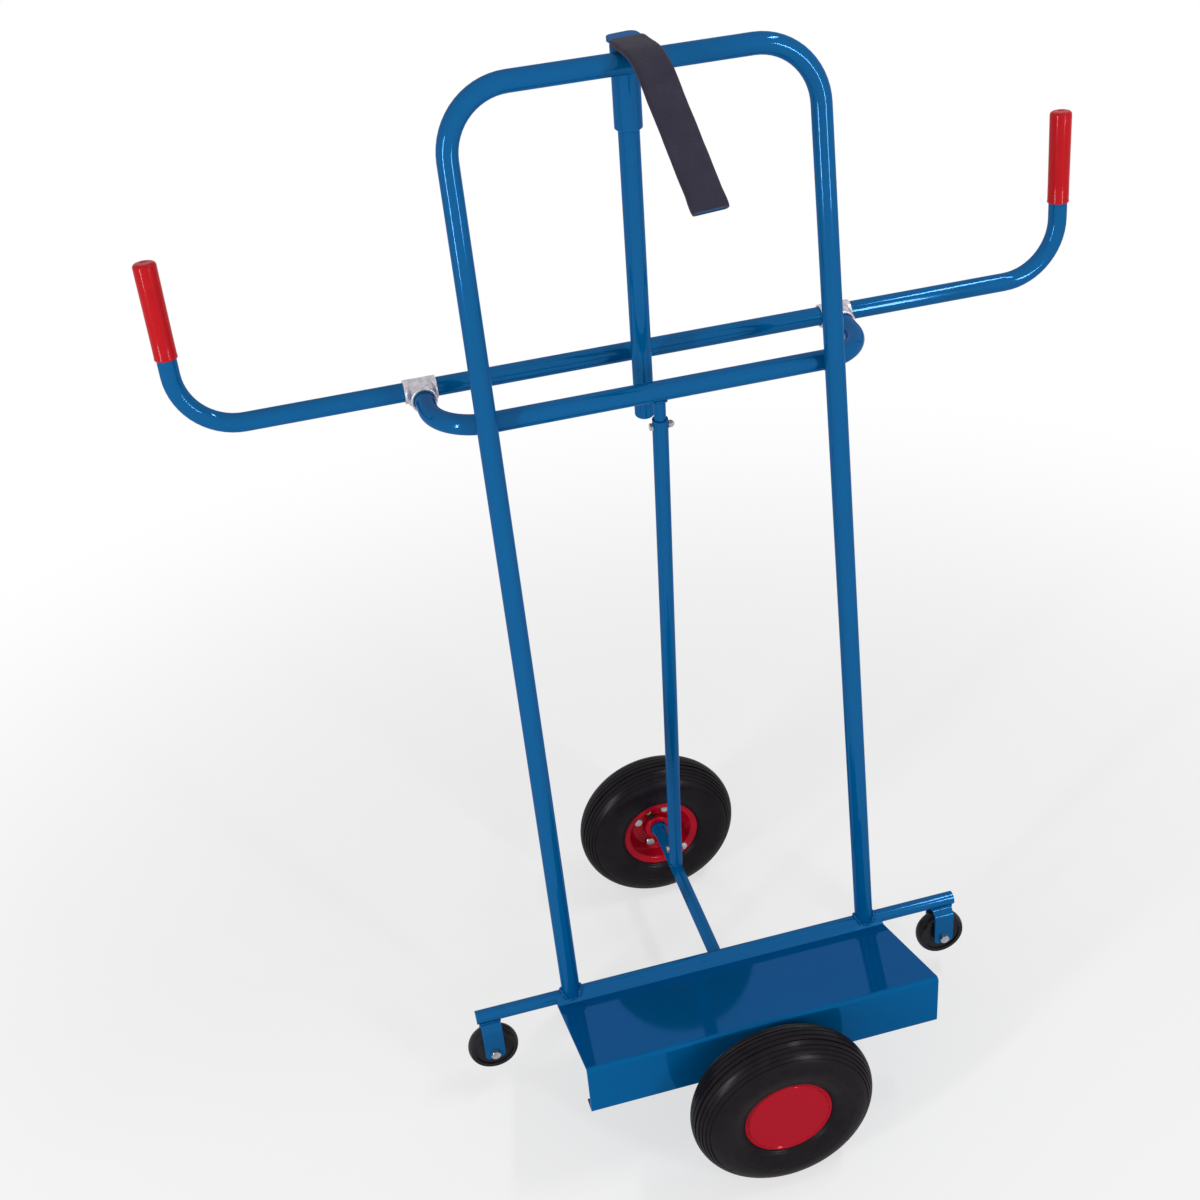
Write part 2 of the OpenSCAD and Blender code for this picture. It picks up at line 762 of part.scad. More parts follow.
function arm_path(from, to) = [
    [from, arm_rise],
    [arm_flat, arm_rise],
    [arm_flat + to * cos(arm_angle), arm_rise - to * sin(arm_angle)]
];

// Extrudes a section drawn in X and Z across the arm
module across_arm(w) {
    rotate([90, 0, 0]) translate([0, 0, -w / 2]) linear_extrude(height = w) children();
}

module arm_bar() color("#005aa0") {
    corner = 10;
    on_arm() difference() {
        across_arm(arm_w) strip(arm_path(-arm_tail, arm_drop), arm_bend, arm_t);
        for (s = [-1, 1])
            translate([corner - arm_tail, s * (arm_w / 2 - corner), arm_under - 1]) difference() {
                translate([-2 * corner, s > 0 ? 0 : -2 * corner, 0]) cube([2 * corner, 2 * corner, arm_t + 2]);
                translate([0, 0, -1]) cylinder(h = arm_t + 4, r = corner);
            }
    }
}

// The pin under the arm that turns in the mast's top
module arm_spigot() color("#005aa0") {
    on_mast() translate([0, 0, arm_under - spigot_len])
        cylinder(h = spigot_len, r = tube_r - tube_wall - play);
}

module arm_foam() color("#3c3748") {
    clear = tube_r + 2;
    on_arm() difference() {
        across_arm(foam_w) strip(arm_path(foam_start, arm_drop), arm_bend, arm_t + 2 * foam_t);
        across_arm(arm_w + 2 * eps) strip(arm_path(-arm_tail, arm_drop + 1), arm_bend, arm_t + 2 * eps);
        cylinder(h = arm_rise, r = clear);
    }
}

module fork_left() color("#005aa0") translate([-roller_x, 0, 0]) fork_shape();
module fork_right() color("#005aa0") translate([roller_x, 0, 0]) fork_shape();
module roller_bolt_left() color("silver") at_roller(-1) roller_bolt_shape();
module roller_bolt_right() color("silver") at_roller(1) roller_bolt_shape();
module roller_nut_left() color("silver") at_roller(-1) roller_nut_shape();
module roller_nut_right() color("silver") at_roller(1) roller_nut_shape();
module roller_bush_left() color("silver") at_roller(-1) roller_bush_shape();
module roller_bush_right() color("silver") at_roller(1) roller_bush_shape();
module roller_left() color("#1e1c20") at_roller(-1) roller_shape();
module roller_right() color("#1e1c20") at_roller(1) roller_shape();
module front_tyre() color("#1e1a1e") at_wheel(front_y, -1) tyre_shape();
module front_inner_tube() color("#1e1a1e") at_wheel(front_y, -1) inner_tube_shape();
module front_rim_outer() color("#af1428") at_wheel(front_y, -1) rim_shape(false);
module front_rim_inner() color("#af1428") at_wheel(front_y, 1) rim_shape(true);
module front_rim_bolts() color("silver") at_wheel(front_y, -1) rim_bolts_shape();
module front_rim_nuts() color("silver") at_wheel(front_y, -1) rim_nuts_shape();
module front_bearing_outer() color("#28282c") at_wheel(front_y, -1) bearing_shape();
module front_bearing_inner() color("#28282c") at_wheel(front_y, 1) bearing_shape();
module front_cap() color("#af1428") at_wheel(front_y, -1) cap_shape();
module rear_tyre() color("#1e1a1e") at_wheel(rear_y, 1) tyre_shape();
module rear_inner_tube() color("#1e1a1e") at_wheel(rear_y, 1) inner_tube_shape();
module rear_rim_outer() color("#af1428") at_wheel(rear_y, 1) rim_shape(false);
module rear_rim_inner() color("#af1428") at_wheel(rear_y, -1) rim_shape(true);
module rear_rim_bolts() color("silver") at_wheel(rear_y, 1) rim_bolts_shape();
module rear_rim_nuts() color("silver") at_wheel(rear_y, 1) rim_nuts_shape();
module rear_bearing_outer() color("#28282c") at_wheel(rear_y, 1) bearing_shape();
module rear_bearing_inner() color("#28282c") at_wheel(rear_y, -1) bearing_shape();
module rear_cap() color("#af1428") at_wheel(rear_y, 1) cap_shape();
module clamp_left() color("#b4b4b8") at_clamp(-1) clamp_shape();
module clamp_right() color("#b4b4b8") at_clamp(1) clamp_shape();
module set_screws_left() color("silver") at_clamp(-1) set_screws_shape();
module set_screws_right() color("silver") at_clamp(1) set_screws_shape();
module grip_left() color("#d71428") on_handle() translate([-grip_half, 0, 0]) grip_shape();
module grip_right() color("#d71428") on_handle() translate([grip_half, 0, 0]) grip_shape();

roller_bar();
back_frame();
load_plate();
axle();
fork_left();
fork_right();
roller_bolt_left();
roller_bolt_right();
roller_nut_left();
roller_nut_right();
roller_bush_left();
roller_bush_right();
roller_left();
roller_right();
front_tyre();
front_inner_tube();
front_rim_outer();
front_rim_inner();
front_rim_bolts();
front_rim_nuts();
front_bearing_outer();
front_bearing_inner();
front_cap();
rear_tyre();
rear_inner_tube();
rear_rim_outer();
rear_rim_inner();
rear_rim_bolts();
rear_rim_nuts();
rear_bearing_outer();
rear_bearing_inner();
rear_cap();
axle_collars();
axle_washers();
axle_rings();
strut();
strut_foot_stub();
strut_head_stub();
strut_bolts();
strut_nuts();
handle_bracket();
clamp_left();
clamp_right();
set_screws_left();
set_screws_right();
handle_bar();
grip_left();
grip_right();
mast_sleeve();
mast();
mast_collar();
mast_plug();
arm_bar();
arm_spigot();
arm_foam();
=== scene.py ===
"""Looks for a two-wheeled panel cart: blue tube frame, black tyres on red rims, padded arm."""
import json
import math

import bmesh
import bpy
from mathutils import Matrix, Vector, noise


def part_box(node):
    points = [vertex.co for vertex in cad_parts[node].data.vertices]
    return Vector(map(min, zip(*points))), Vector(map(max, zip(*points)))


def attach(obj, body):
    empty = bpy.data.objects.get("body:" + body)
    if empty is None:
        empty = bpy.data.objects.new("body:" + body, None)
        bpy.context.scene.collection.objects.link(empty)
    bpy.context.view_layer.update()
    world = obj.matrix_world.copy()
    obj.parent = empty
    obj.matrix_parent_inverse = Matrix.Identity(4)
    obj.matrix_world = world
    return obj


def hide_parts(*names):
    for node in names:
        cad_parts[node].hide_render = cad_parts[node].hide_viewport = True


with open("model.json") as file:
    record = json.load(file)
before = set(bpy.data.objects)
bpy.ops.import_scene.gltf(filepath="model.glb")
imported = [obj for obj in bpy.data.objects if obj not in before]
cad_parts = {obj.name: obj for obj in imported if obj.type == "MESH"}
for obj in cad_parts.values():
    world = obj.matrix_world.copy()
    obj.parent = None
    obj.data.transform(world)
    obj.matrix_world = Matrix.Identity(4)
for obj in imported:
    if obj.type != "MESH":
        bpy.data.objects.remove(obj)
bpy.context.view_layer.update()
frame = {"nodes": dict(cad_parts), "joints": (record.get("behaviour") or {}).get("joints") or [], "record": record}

MM = 0.001
RIGHT = Vector((1, 0, 0))
BACK = Vector((0, 1, 0))


# Places read from the frame

def middle(node):
    """Middle of a node's box."""
    low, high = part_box(node)
    return (low + high) / 2


def extent(node):
    """Size of a node's box."""
    low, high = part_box(node)
    return high - low


def joint(name):
    """The record's entry for one joint."""
    return next(j for j in frame["joints"] if j["name"] == name)


FRONT_HUB = Vector(joint("front_wheel_spin")["pos_m"])
REAR_HUB = Vector(joint("rear_wheel_spin")["pos_m"])
BAR = middle("roller_bar")
BAR_R = extent("roller_bar").z / 2
AXLE_R = extent("axle").z / 2
FRAME_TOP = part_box("back_frame")[1].z
MAST_TOP = Vector(joint("arm_swivel")["pos_m"])
MAST_DIR = Vector(joint("arm_swivel")["axis"]).normalized()

# Sizes in millimetres and angles in degrees; those of the main forms are the solids' own

# Tyre, with its section's middle at TYRE_MID from the axle
TYRE_MID = 90.0
TYRE_R = 40.0
TYRE_WALL = 6.5
BEAD_R = 50.8
BEAD_OUT = 24.3
BEAD_IN = 16.4
RIM_OPENING = 63.9

# Pressed rim half, wheel cover and valve
RIM_T = 2.0
RIM_EDGE_R = 61.5
RIM_EDGE_OUT = 26.4
RIM_CURL = 2.0
RIM_BENDS = (3.2, 3.2, 5.0, 8.0, 4.2)
RIM_WEB_R = 42.5
RIM_SEAT_LOW = (48.0, 9.0)
RIM_SEAT_TOP = (52.6, 26.4)
RIM_DOME = (14.0, 13.6)
RIM_HUB_R = 22.0
CAP_R = 59.2
VALVE_TURN = 113
VALVE_IN = 9

# Frame tubes, handle bracket, mast sleeve and strut
TUBE_R = 13.45
FRAME_HALF = 230.4
FRAME_LEAN = 7.23
HANDLE_Z = 1028.5
BRACKET_Y = 101.21
SLEEVE_R = 17.53
STRUT_Y = 193.75
STRUT_LEAN = 5.88
STUB_R = 8.0

# Handle bar and grips
BAR_TUBE_R = 12.75
GRIP_HALF = 611.5
GRIP_SHIFT = 12.8
GRIP_LEAN = 4.2
GRIP_TOP = 227.0
GRIP_LEN = 125.0
GRIP_R = 14.9

# Arm and its foam, whose box and slot are given as width, height and corner radius
ARM_YAW = 8
ARM_RISE = 21.0
ARM_FLAT = 71.5
ARM_DROP = 202.3
ARM_ANGLE = 40.4
ARM_BEND = 70.0
FOAM_FROM = 10.0
FOAM_PAST = 0.5
FOAM_SIZE = (46.0, 10.0, 4.4)
FOAM_SLOT = (40.3, 5.3, 2.2)

# Load plate, and the seam that joins it to the roller bar
PLATE_SLOPE = 21.7
PLATE_HALF = 255.0
PLATE_TOE = 18.0
PLATE_MEET = 27.0
PLATE_TOUCH = 10.3


# Materials

class Shader:
    """A node tree that is built up a few nodes at a time."""

    def __init__(self, name):
        self.material = bpy.data.materials.new(name)
        self.material.use_nodes = True
        self.tree = self.material.node_tree
        self.surface = self.tree.nodes["Principled BSDF"]
        place = self.add("ShaderNodeTexCoord")
        self.place = place.outputs["Object"]

    def add(self, kind, **settings):
        """A new node with some of its settings."""
        made = self.tree.nodes.new(kind)
        for key, value in settings.items():
            setattr(made, key, value)
        return made

    def link(self, start, end):
        """Links an output to an input."""
        self.tree.links.new(start, end)

    def finish(self, **values):
        """Sets the plain numbers of the surface by their socket names."""
        for key, value in values.items():
            self.surface.inputs[key.replace("_", " ")].default_value = value

    def feed(self, socket, output):
        """Links an output to one of the surface's own sockets."""
        self.link(output, self.surface.inputs[socket])

    def noise(self, scale, detail, roughness=0.5):
        """Even noise of 0 to 1 that is fixed to the piece; scale is its patches in a metre."""
        made = self.add("ShaderNodeTexNoise")
        made.inputs["Scale"].default_value = scale
        made.inputs["Detail"].default_value = detail
        made.inputs["Roughness"].default_value = roughness
        self.link(self.place, made.inputs["Vector"])
        return made.outputs["Fac"]

    def ramp(self, factor, stops):
        """A colour ramp with stops of (position, colour)."""
        made = self.add("ShaderNodeValToRGB")
        steps = made.color_ramp.elements
        while len(steps) < len(stops):
            steps.new(0.5)
        for step, (position, colour) in zip(steps, stops):
            step.position = position
            step.color = (*colour, 1)
        self.link(factor, made.inputs["Fac"])
        return made.outputs["Color"]

    def blend(self, factor, under, colour):
        """Lays a plain colour over what is under it, by a factor."""
        made = self.add("ShaderNodeMix", data_type="RGBA")
        made.inputs["B"].default_value = (*colour, 1)
        self.link(factor, made.inputs["Factor"])
        self.link(under, made.inputs["A"])
        return made.outputs["Result"]

    def spread(self, factor, low, high):
        """Maps a factor of 0 to 1 on to low to high."""
        made = self.add("ShaderNodeMapRange")
        made.inputs["To Min"].default_value = low
        made.inputs["To Max"].default_value = high
        self.link(factor, made.inputs["Value"])
        return made.outputs["Result"]

    def bump(self, height, distance, strength, under=None):
        """Relief of a height, over another relief if one is given."""
        made = self.add("ShaderNodeBump")
        made.inputs["Distance"].default_value = distance
        made.inputs["Strength"].default_value = strength
        self.link(height, made.inputs["Height"])
        if under is not None:
            self.link(under, made.inputs["Normal"])
        return made.outputs["Normal"]

    def edge_wear(self, low, high):
        """1 on sharp outer edges and 0 elsewhere."""
        made = self.add("ShaderNodeNewGeometry")
        return self.ramp(made.outputs["Pointiness"], [(low, (0, 0, 0)), (high, (1, 1, 1))])


def powder_coat(name, colour, shade, roughness, flake, tint, coat=0.055):
    """Gloss powder coat: a slight change of shade, a faint orange peel and a deep coloured shine."""
    s = Shader(name)
    clouds = s.noise(5.0, 4.0)
    patches = s.noise(70.0, 2.0)
    orange_peel = s.noise(260.0, 2.0)
    s.feed("Base Color", s.ramp(clouds, [(0.3, shade), (0.7, colour)]))
    s.feed("Roughness", s.spread(patches, roughness * 0.75, roughness * 1.3))
    s.feed("Normal", s.bump(orange_peel, 0.05 * MM, strength=0.35))
    s.finish(Metallic=flake, IOR=1.05, Specular_Tint=tint, Coat_Weight=coat, Coat_IOR=2.4,
             Coat_Roughness=0.05)
    return s.material


def bare_metal(name, colour, dark, roughness, grain, depth, worn=None):
    """Zinc, brass or casting: mottled metal with a relief depth millimetres deep, and worn edges."""
    s = Shader(name)
    mottle = s.ramp(s.noise(grain, 4.0, 0.6), [(0.35, dark), (0.65, colour)])
    if worn:
        mottle = s.blend(s.edge_wear(0.52, 0.60), mottle, worn)
    patches = s.noise(grain * 2.5, 3.0)
    pits = s.noise(grain * 4, 3.0)
    s.feed("Base Color", mottle)
    s.feed("Roughness", s.spread(patches, roughness * 0.7, roughness * 1.3))
    s.feed("Normal", s.bump(pits, depth * MM, strength=0.6))
    s.finish(Metallic=0.9)
    return s.material


def moulded(name, colour, light, roughness, grain, depth, level):
    """Rubber or plastic out of a mould: a faint mottle, a fine skin and a thin shine of its own."""
    s = Shader(name)
    mottle = s.noise(grain * 0.12, 4.0, 0.6)
    patches = s.noise(grain * 0.3, 4.0, 0.6)
    skin = s.noise(grain, 3.0)
    s.feed("Base Color", s.ramp(mottle, [(0.3, colour), (0.75, light)]))
    s.feed("Roughness", s.spread(patches, roughness * 0.75, roughness * 1.25))
    s.feed("Normal", s.bump(skin, depth * MM, strength=0.5))
    s.finish(IOR=1.2, Specular_IOR_Level=0.2, Coat_Weight=level, Coat_IOR=1.9,
             Coat_Roughness=roughness * 0.5)
    return s.material


def tyre_skin():
    """Tyre rubber: near black with dusty patches, a fine skin and a soft shine on its shoulders."""
    s = Shader("tyre_rubber")
    clean = (0.0058, 0.0044, 0.0060)
    dusty = (0.0130, 0.0100, 0.0130)
    dust = s.noise(55.0, 5.0, 0.65)
    patches = s.noise(120.0, 5.0, 0.65)
    skin = s.bump(s.noise(900.0, 3.0), 0.04 * MM, strength=0.5)
    waves = s.bump(s.noise(90.0, 4.0), 0.25 * MM, strength=0.35, under=skin)
    s.feed("Base Color", s.ramp(dust, [(0.3, clean), (0.8, dusty)]))
    s.feed("Roughness", s.spread(patches, 0.30, 0.52))
    s.feed("Normal", waves)
    s.finish(IOR=1.2, Specular_IOR_Level=0.1, Coat_Weight=0.07, Coat_IOR=1.9, Coat_Roughness=0.27)
    return s.material


def foam_skin():
    """Closed-cell foam: a dull violet grey with fine open pores."""
    s = Shader("foam")
    dark = (0.020, 0.017, 0.032)
    light = (0.040, 0.035, 0.060)
    speck = (0.028, 0.024, 0.042)
    mottle = s.ramp(s.noise(38.0, 6.0, 0.7), [(0.28, dark), (0.72, light)])
    specks = s.ramp(s.noise(420.0, 2.0), [(0.42, (0.0, 0.0, 0.0)), (0.62, (1.0, 1.0, 1.0))])
    pores = s.add("ShaderNodeTexVoronoi")
    pores.inputs["Scale"].default_value = 700.0
    s.link(s.place, pores.inputs["Vector"])
    skin = s.bump(pores.outputs["Distance"], 0.4 * MM, strength=0.6)
    dents = s.bump(s.noise(130.0, 4.0), 0.6 * MM, strength=0.5, under=skin)
    s.feed("Base Color", s.blend(specks, mottle, speck))
    s.feed("Normal", dents)
    s.finish(Roughness=0.9, Sheen_Weight=0.1, Sheen_Roughness=0.5, Specular_IOR_Level=0.2)
    return s.material


BLUE_SHINE = (0.1, 0.4, 1.0, 1)
RED_SHINE = (1.0, 0.3, 0.3, 1)

BLUE = powder_coat("blue_paint", colour=(0.0, 0.108, 0.302), shade=(0.0, 0.101, 0.284),
                   roughness=0.10, flake=0.16, tint=BLUE_SHINE)
SHEET_BLUE = powder_coat("blue_sheet_paint", colour=(0.0, 0.107, 0.302), shade=(0.0, 0.100, 0.284),
                         roughness=0.08, flake=0.22, tint=BLUE_SHINE, coat=0.018)
RED = powder_coat("red_paint", colour=(0.430, 0.003, 0.018), shade=(0.400, 0.003, 0.016),
                  roughness=0.20, flake=0.16, tint=RED_SHINE)
ZINC = bare_metal("zinc_steel", colour=(0.50, 0.50, 0.51), dark=(0.33, 0.33, 0.34),
                  roughness=0.30, grain=130.0, depth=0.04)
CASTING = bare_metal("galvanised_casting", colour=(0.60, 0.58, 0.61), dark=(0.36, 0.35, 0.39),
                     roughness=0.42, grain=150.0, depth=0.15, worn=(0.85, 0.85, 0.87))
DARK_STEEL = bare_metal("bearing_steel", colour=(0.05, 0.05, 0.055), dark=(0.03, 0.03, 0.034),
                        roughness=0.35, grain=120.0, depth=0.03)
BRASS = bare_metal("valve_brass", colour=(0.42, 0.26, 0.10), dark=(0.26, 0.15, 0.06),
                   roughness=0.38, grain=200.0, depth=0.03)
TYRE = tyre_skin()
TUBE = moulded("tube_rubber", colour=(0.010, 0.009, 0.010), light=(0.016, 0.014, 0.016),
               roughness=0.55, grain=500.0, depth=0.05, level=0.04)
ROLLER = moulded("roller_rubber", colour=(0.010, 0.009, 0.012), light=(0.020, 0.018, 0.024),
                 roughness=0.42, grain=500.0, depth=0.05, level=0.08)
GRIP = moulded("red_grip", colour=(0.475, 0.004, 0.009), light=(0.530, 0.005, 0.012),
               roughness=0.24, grain=400.0, depth=0.03, level=0.08)
FOAM = foam_skin()

FINISHES = {
    "blue_paint": BLUE,
    "red_paint": RED,
    "red_grip": GRIP,
    "zinc_steel": ZINC,
    "galvanised_casting": CASTING,
    "bearing_steel": DARK_STEEL,
    "tyre_rubber": TYRE,
    "tube_rubber": TUBE,
    "roller_rubber": ROLLER,
    "foam": FOAM,
}
OWN_FINISH = {"load_plate": SHEET_BLUE}


def finish_cad_nodes():
    """Gives every carried-over node the material of its slot, or its own smoother paint."""
    slots = {s["node"]: s["material_slot"] for s in frame["record"]["subparts"]}
    for name, part in frame["nodes"].items():
        part.data.materials.clear()
        part.data.materials.append(OWN_FINISH.get(name, FINISHES[slots[name]]))


# Ways to make a piece

def new_object(name, data):
    """A new object in the scene."""
    made = bpy.data.objects.new(name, data)
    bpy.context.scene.collection.objects.link(made)
    return made


def finished_mesh(holder):
    """The plain mesh that an object's modifiers make of it; the object itself goes."""
    shown = holder.evaluated_get(bpy.context.evaluated_depsgraph_get())
    mesh = bpy.data.meshes.new_from_object(shown)
    bpy.data.objects.remove(holder)
    return mesh


class Recipe:
    """A Geometry Nodes tree with named inputs, run on one object at a time."""

    def __init__(self, name, **inputs):
        self.tree = bpy.data.node_groups.new(name, "GeometryNodeTree")
        sockets = self.tree.interface
        sockets.new_socket("Geometry", in_out="INPUT", socket_type="NodeSocketGeometry")
        self.keys = {}
        for label, kind in inputs.items():
            made = sockets.new_socket(label, in_out="INPUT", socket_type="NodeSocket" + kind)
            self.keys[label] = made.identifier
        sockets.new_socket("Geometry", in_out="OUTPUT", socket_type="NodeSocketGeometry")
        self.given = self.add("NodeGroupInput").outputs
        self.result = self.add("NodeGroupOutput").inputs["Geometry"]

    def add(self, kind, values=None, **settings):
        """A node; values are its inputs, each a number or another node's output."""
        made = self.tree.nodes.new(kind)
        for key, value in settings.items():
            setattr(made, key, value)
        for key, value in (values or {}).items():
            if isinstance(value, bpy.types.NodeSocket):
                self.tree.links.new(value, made.inputs[key])
            else:
                made.inputs[key].default_value = value
        return made

    def end(self, shape, material):
        """Closes the tree: everything real, smooth and in its material."""
        real = self.add("GeometryNodeRealizeInstances", {"Geometry": shape})
        smooth = self.add("GeometryNodeSetShadeSmooth", {"Geometry": real.outputs[0]})
        dressed = self.add("GeometryNodeSetMaterial", {"Geometry": smooth.outputs[0], "Material": material})
        self.tree.links.new(dressed.outputs[0], self.result)

    def run(self, name, points, edges, **inputs):
        """The plain mesh that the tree makes from a few points and edges."""
        start = bpy.data.meshes.new(name)
        start.from_pydata([tuple(p) for p in points], edges, [])
        holder = new_object(name, start)
        step = holder.modifiers.new("recipe", "NODES")
        step.node_group = self.tree
        for label, value in inputs.items():
            step[self.keys[label]] = value
        return finished_mesh(holder)


def turning_recipe():
    """Turns a section round an axis, as on a lathe. Its sections stand off a hub of radius Hub."""
    r = Recipe("turning", Steps="Int", Hub="Float", Material="Material")
    section = r.add("GeometryNodeMeshToCurve", {"Mesh": r.given["Geometry"]})
    round_path = r.add("GeometryNodeCurvePrimitiveCircle",
                       {"Resolution": r.given["Steps"], "Radius": r.given["Hub"]})
    body = r.add("GeometryNodeCurveToMesh",
                 {"Curve": round_path.outputs["Curve"], "Profile Curve": section.outputs["Curve"]})
    closed = r.add("GeometryNodeMergeByDistance", {"Geometry": body.outputs["Mesh"], "Distance": 1e-6})
    r.end(closed.outputs["Geometry"], r.given["Material"])
    return r


def bead_recipe():
    """Lays overlapping scales of weld along a path, each a little unlike the last."""
    r = Recipe("weld_bead", Pitch="Float", Length="Float", Width="Float", Unevenness="Float",
               Seed="Int", Material="Material")
    path = r.add("GeometryNodeMeshToCurve", {"Mesh": r.given["Geometry"]})
    spaced = r.add("GeometryNodeResampleCurve",
                   {"Curve": path.outputs["Curve"], "Length": r.given["Pitch"]}, mode="LENGTH")
    scale_one = r.add("GeometryNodeMeshUVSphere", {"Segments": 8, "Rings": 5, "Radius": 1.0})
    along = r.add("GeometryNodeInputTangent")
    turned_to = r.add("FunctionNodeAlignRotationToVector", {"Vector": along.outputs[0]}, axis="Z")
    size = r.add("ShaderNodeCombineXYZ", {"X": r.given["Width"], "Y": r.given["Width"],
                                          "Z": r.given["Length"]})
    low = r.add("ShaderNodeMath", {0: 1.0, 1: r.given["Unevenness"]}, operation="SUBTRACT")
    high = r.add("ShaderNodeMath", {0: 1.0, 1: r.given["Unevenness"]}, operation="ADD")
    change = r.add("FunctionNodeRandomValue", {2: low.outputs[0], 3: high.outputs[0],
                                               "Seed": r.given["Seed"]})
    sized = r.add("ShaderNodeVectorMath", {0: size.outputs[0], "Scale": change.outputs[1]},
                  operation="SCALE")
    scales = r.add("GeometryNodeInstanceOnPoints",
                   {"Points": spaced.outputs["Curve"], "Instance": scale_one.outputs["Mesh"],
                    "Rotation": turned_to.outputs[0], "Scale": sized.outputs[0]})
    r.end(scales.outputs["Instances"], r.given["Material"])
    return r


def ridge_recipe():
    """A thin ridge along a path, repeated round the Z axis."""
    r = Recipe("mould_ridges", Count="Int", Thick="Float", First="Float", Material="Material")
    path = r.add("GeometryNodeMeshToCurve", {"Mesh": r.given["Geometry"]})
    section = r.add("GeometryNodeCurvePrimitiveCircle", {"Resolution": 6, "Radius": r.given["Thick"]})
    ridge = r.add("GeometryNodeCurveToMesh",
                  {"Curve": path.outputs["Curve"], "Profile Curve": section.outputs["Curve"],
                   "Fill Caps": True})
    place = r.add("GeometryNodeMeshLine", {"Count": r.given["Count"], "Offset": (0.0, 0.0, 0.0)})
    number = r.add("GeometryNodeInputIndex")
    share = r.add("ShaderNodeMath", {0: number.outputs[0], 1: r.given["Count"]}, operation="DIVIDE")
    angle = r.add("ShaderNodeMath", {0: share.outputs[0], 1: 2 * math.pi, 2: r.given["First"]},
                  operation="MULTIPLY_ADD")
    turn = r.add("ShaderNodeCombineXYZ", {"Z": angle.outputs[0]})
    all_round = r.add("GeometryNodeInstanceOnPoints",
                      {"Points": place.outputs["Mesh"], "Instance": ridge.outputs["Mesh"],
                       "Rotation": turn.outputs[0]})
    r.end(all_round.outputs["Instances"], r.given["Material"])
    return r


TURNING = turning_recipe()
BEADS = bead_recipe()
RIDGES = ridge_recipe()


def settle(mesh, place, sharp=40):
    """Puts a mesh in its place with its faces outwards, and creases its sharp edges."""
    mesh.transform(place)
    work = bmesh.new()
    work.from_mesh(mesh)
    bmesh.ops.recalc_face_normals(work, faces=work.faces)
    work.to_mesh(mesh)
    work.free()
    mesh.shade_smooth()
    mesh.set_sharp_from_angle(angle=math.radians(sharp))
    return mesh


def piece(name, mesh, body, replaced=()):
    """Makes a piece of the scene out of a finished mesh."""
    made = new_object(name, mesh)
    if replaced:
        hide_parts(*replaced)
    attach(made, body)
    return made


def chain(count, first=0):
    """Edges that join a number of points one after the other."""
    return [(first + i, first + i + 1) for i in range(count - 1)]


def skin_faces(rows, count, first=0):
    """Faces over closed rings of points that follow one another."""
    faces = []
    for row in range(rows - 1):
        low = first + row * count
        for here in range(count):
            after = (here + 1) % count
            faces.append((low + here, low + after, low + count + after, low + count + here))
    return faces


def turned(name, section, place, material, steps, closed=True, sharp=40):
    """A turned mesh from a section of (radius, height) points in millimetres."""
    hub = 0.01
    points = [(radius * MM - hub, -height * MM, 0) for radius, height in section]
    edges = chain(len(points))
    if closed:
        edges.append((len(points) - 1, 0))
    mesh = TURNING.run(name, points, edges, Steps=steps, Hub=hub, Material=material)
    return settle(mesh, place, sharp)


def left(v):
    """A direction turned by a quarter to its left."""
    return Vector((-v.y, v.x))


def strip_sides(path, bends, thick):
    """The two sides of a strip that follows a path, each corner bent round with its own radius."""
    steps = 8
    path = [Vector(p) for p in path]
    sides = []
    for off in (thick / 2, -thick / 2):
        side = [path[0] + left((path[1] - path[0]).normalized()) * off]
        for before, here, after, bend in zip(path, path[1:], path[2:], bends):
            u = (here - before).normalized()
            v = (after - here).normalized()
            angle = math.atan2(u.x * v.y - u.y * v.x, u.dot(v))
            sense = math.copysign(1, angle)
            centre = here - u * bend * math.tan(abs(angle) / 2) + left(u) * sense * bend
            for k in range(steps + 1):
                spoke = Matrix.Rotation(angle * k / steps, 2) @ (left(u) * sense)
                side.append(centre - spoke * (bend - sense * off))
        side.append(path[-1] + left((path[-1] - path[-2]).normalized()) * off)
        sides.append([tuple(p) for p in side])
    return sides


def arc(centre, radius, start, end, steps):
    """Points on an arc, from the start angle to the end angle in degrees."""
    return [(centre[0] + radius * math.cos(math.radians(start + (end - start) * k / steps)),
             centre[1] + radius * math.sin(math.radians(start + (end - start) * k / steps)))
            for k in range(steps + 1)]


def joined(meshes, material):
    """One mesh in one material out of several."""
    work = bmesh.new()
    for mesh in meshes:
        work.from_mesh(mesh)
    for face in work.faces:
        face.material_index = 0
    whole = bpy.data.meshes.new(meshes[0].name)
    work.to_mesh(whole)
    work.free()
    whole.materials.append(material)
    return whole


# Wheels

# Grooves on each side of the tread's middle: angle, half width in degrees, depth
TREAD = [(6, 1.5, 1.1), (17, 2.4, 2.0), (28, 1.7, 1.4), (36.5, 1.5, 1.2), (45, 1.5, 1.2),
         (53.5, 1.6, 1.2)]

# Points over a groove in shares of its half width, how flat its floor is, and degrees between plain points
GROOVE_STOPS = (-1, -0.85, -0.6, -0.3, 0, 0.3, 0.6, 0.85, 1)
GROOVE_FULLNESS = 1.6
PLAIN_STEP = 3

# Step down the tyre's side, and the raised ring near the rim
SIDE_STEP = 90.4
SIDE_SLOPE = 0.8
SIDE_IN = 0.55
RIM_RING = (122.0, 127.5)
RING_SLOPE = 1.2

# Mould ridges over the shoulders, the turn in radians of the first on each face
RIDGE_SPAN = (57, 79)
RIDGE_R = 0.28
RIDGE_COUNT = 7
RIDGE_TURNS = ((1, 0.20), (-1, 0.55))

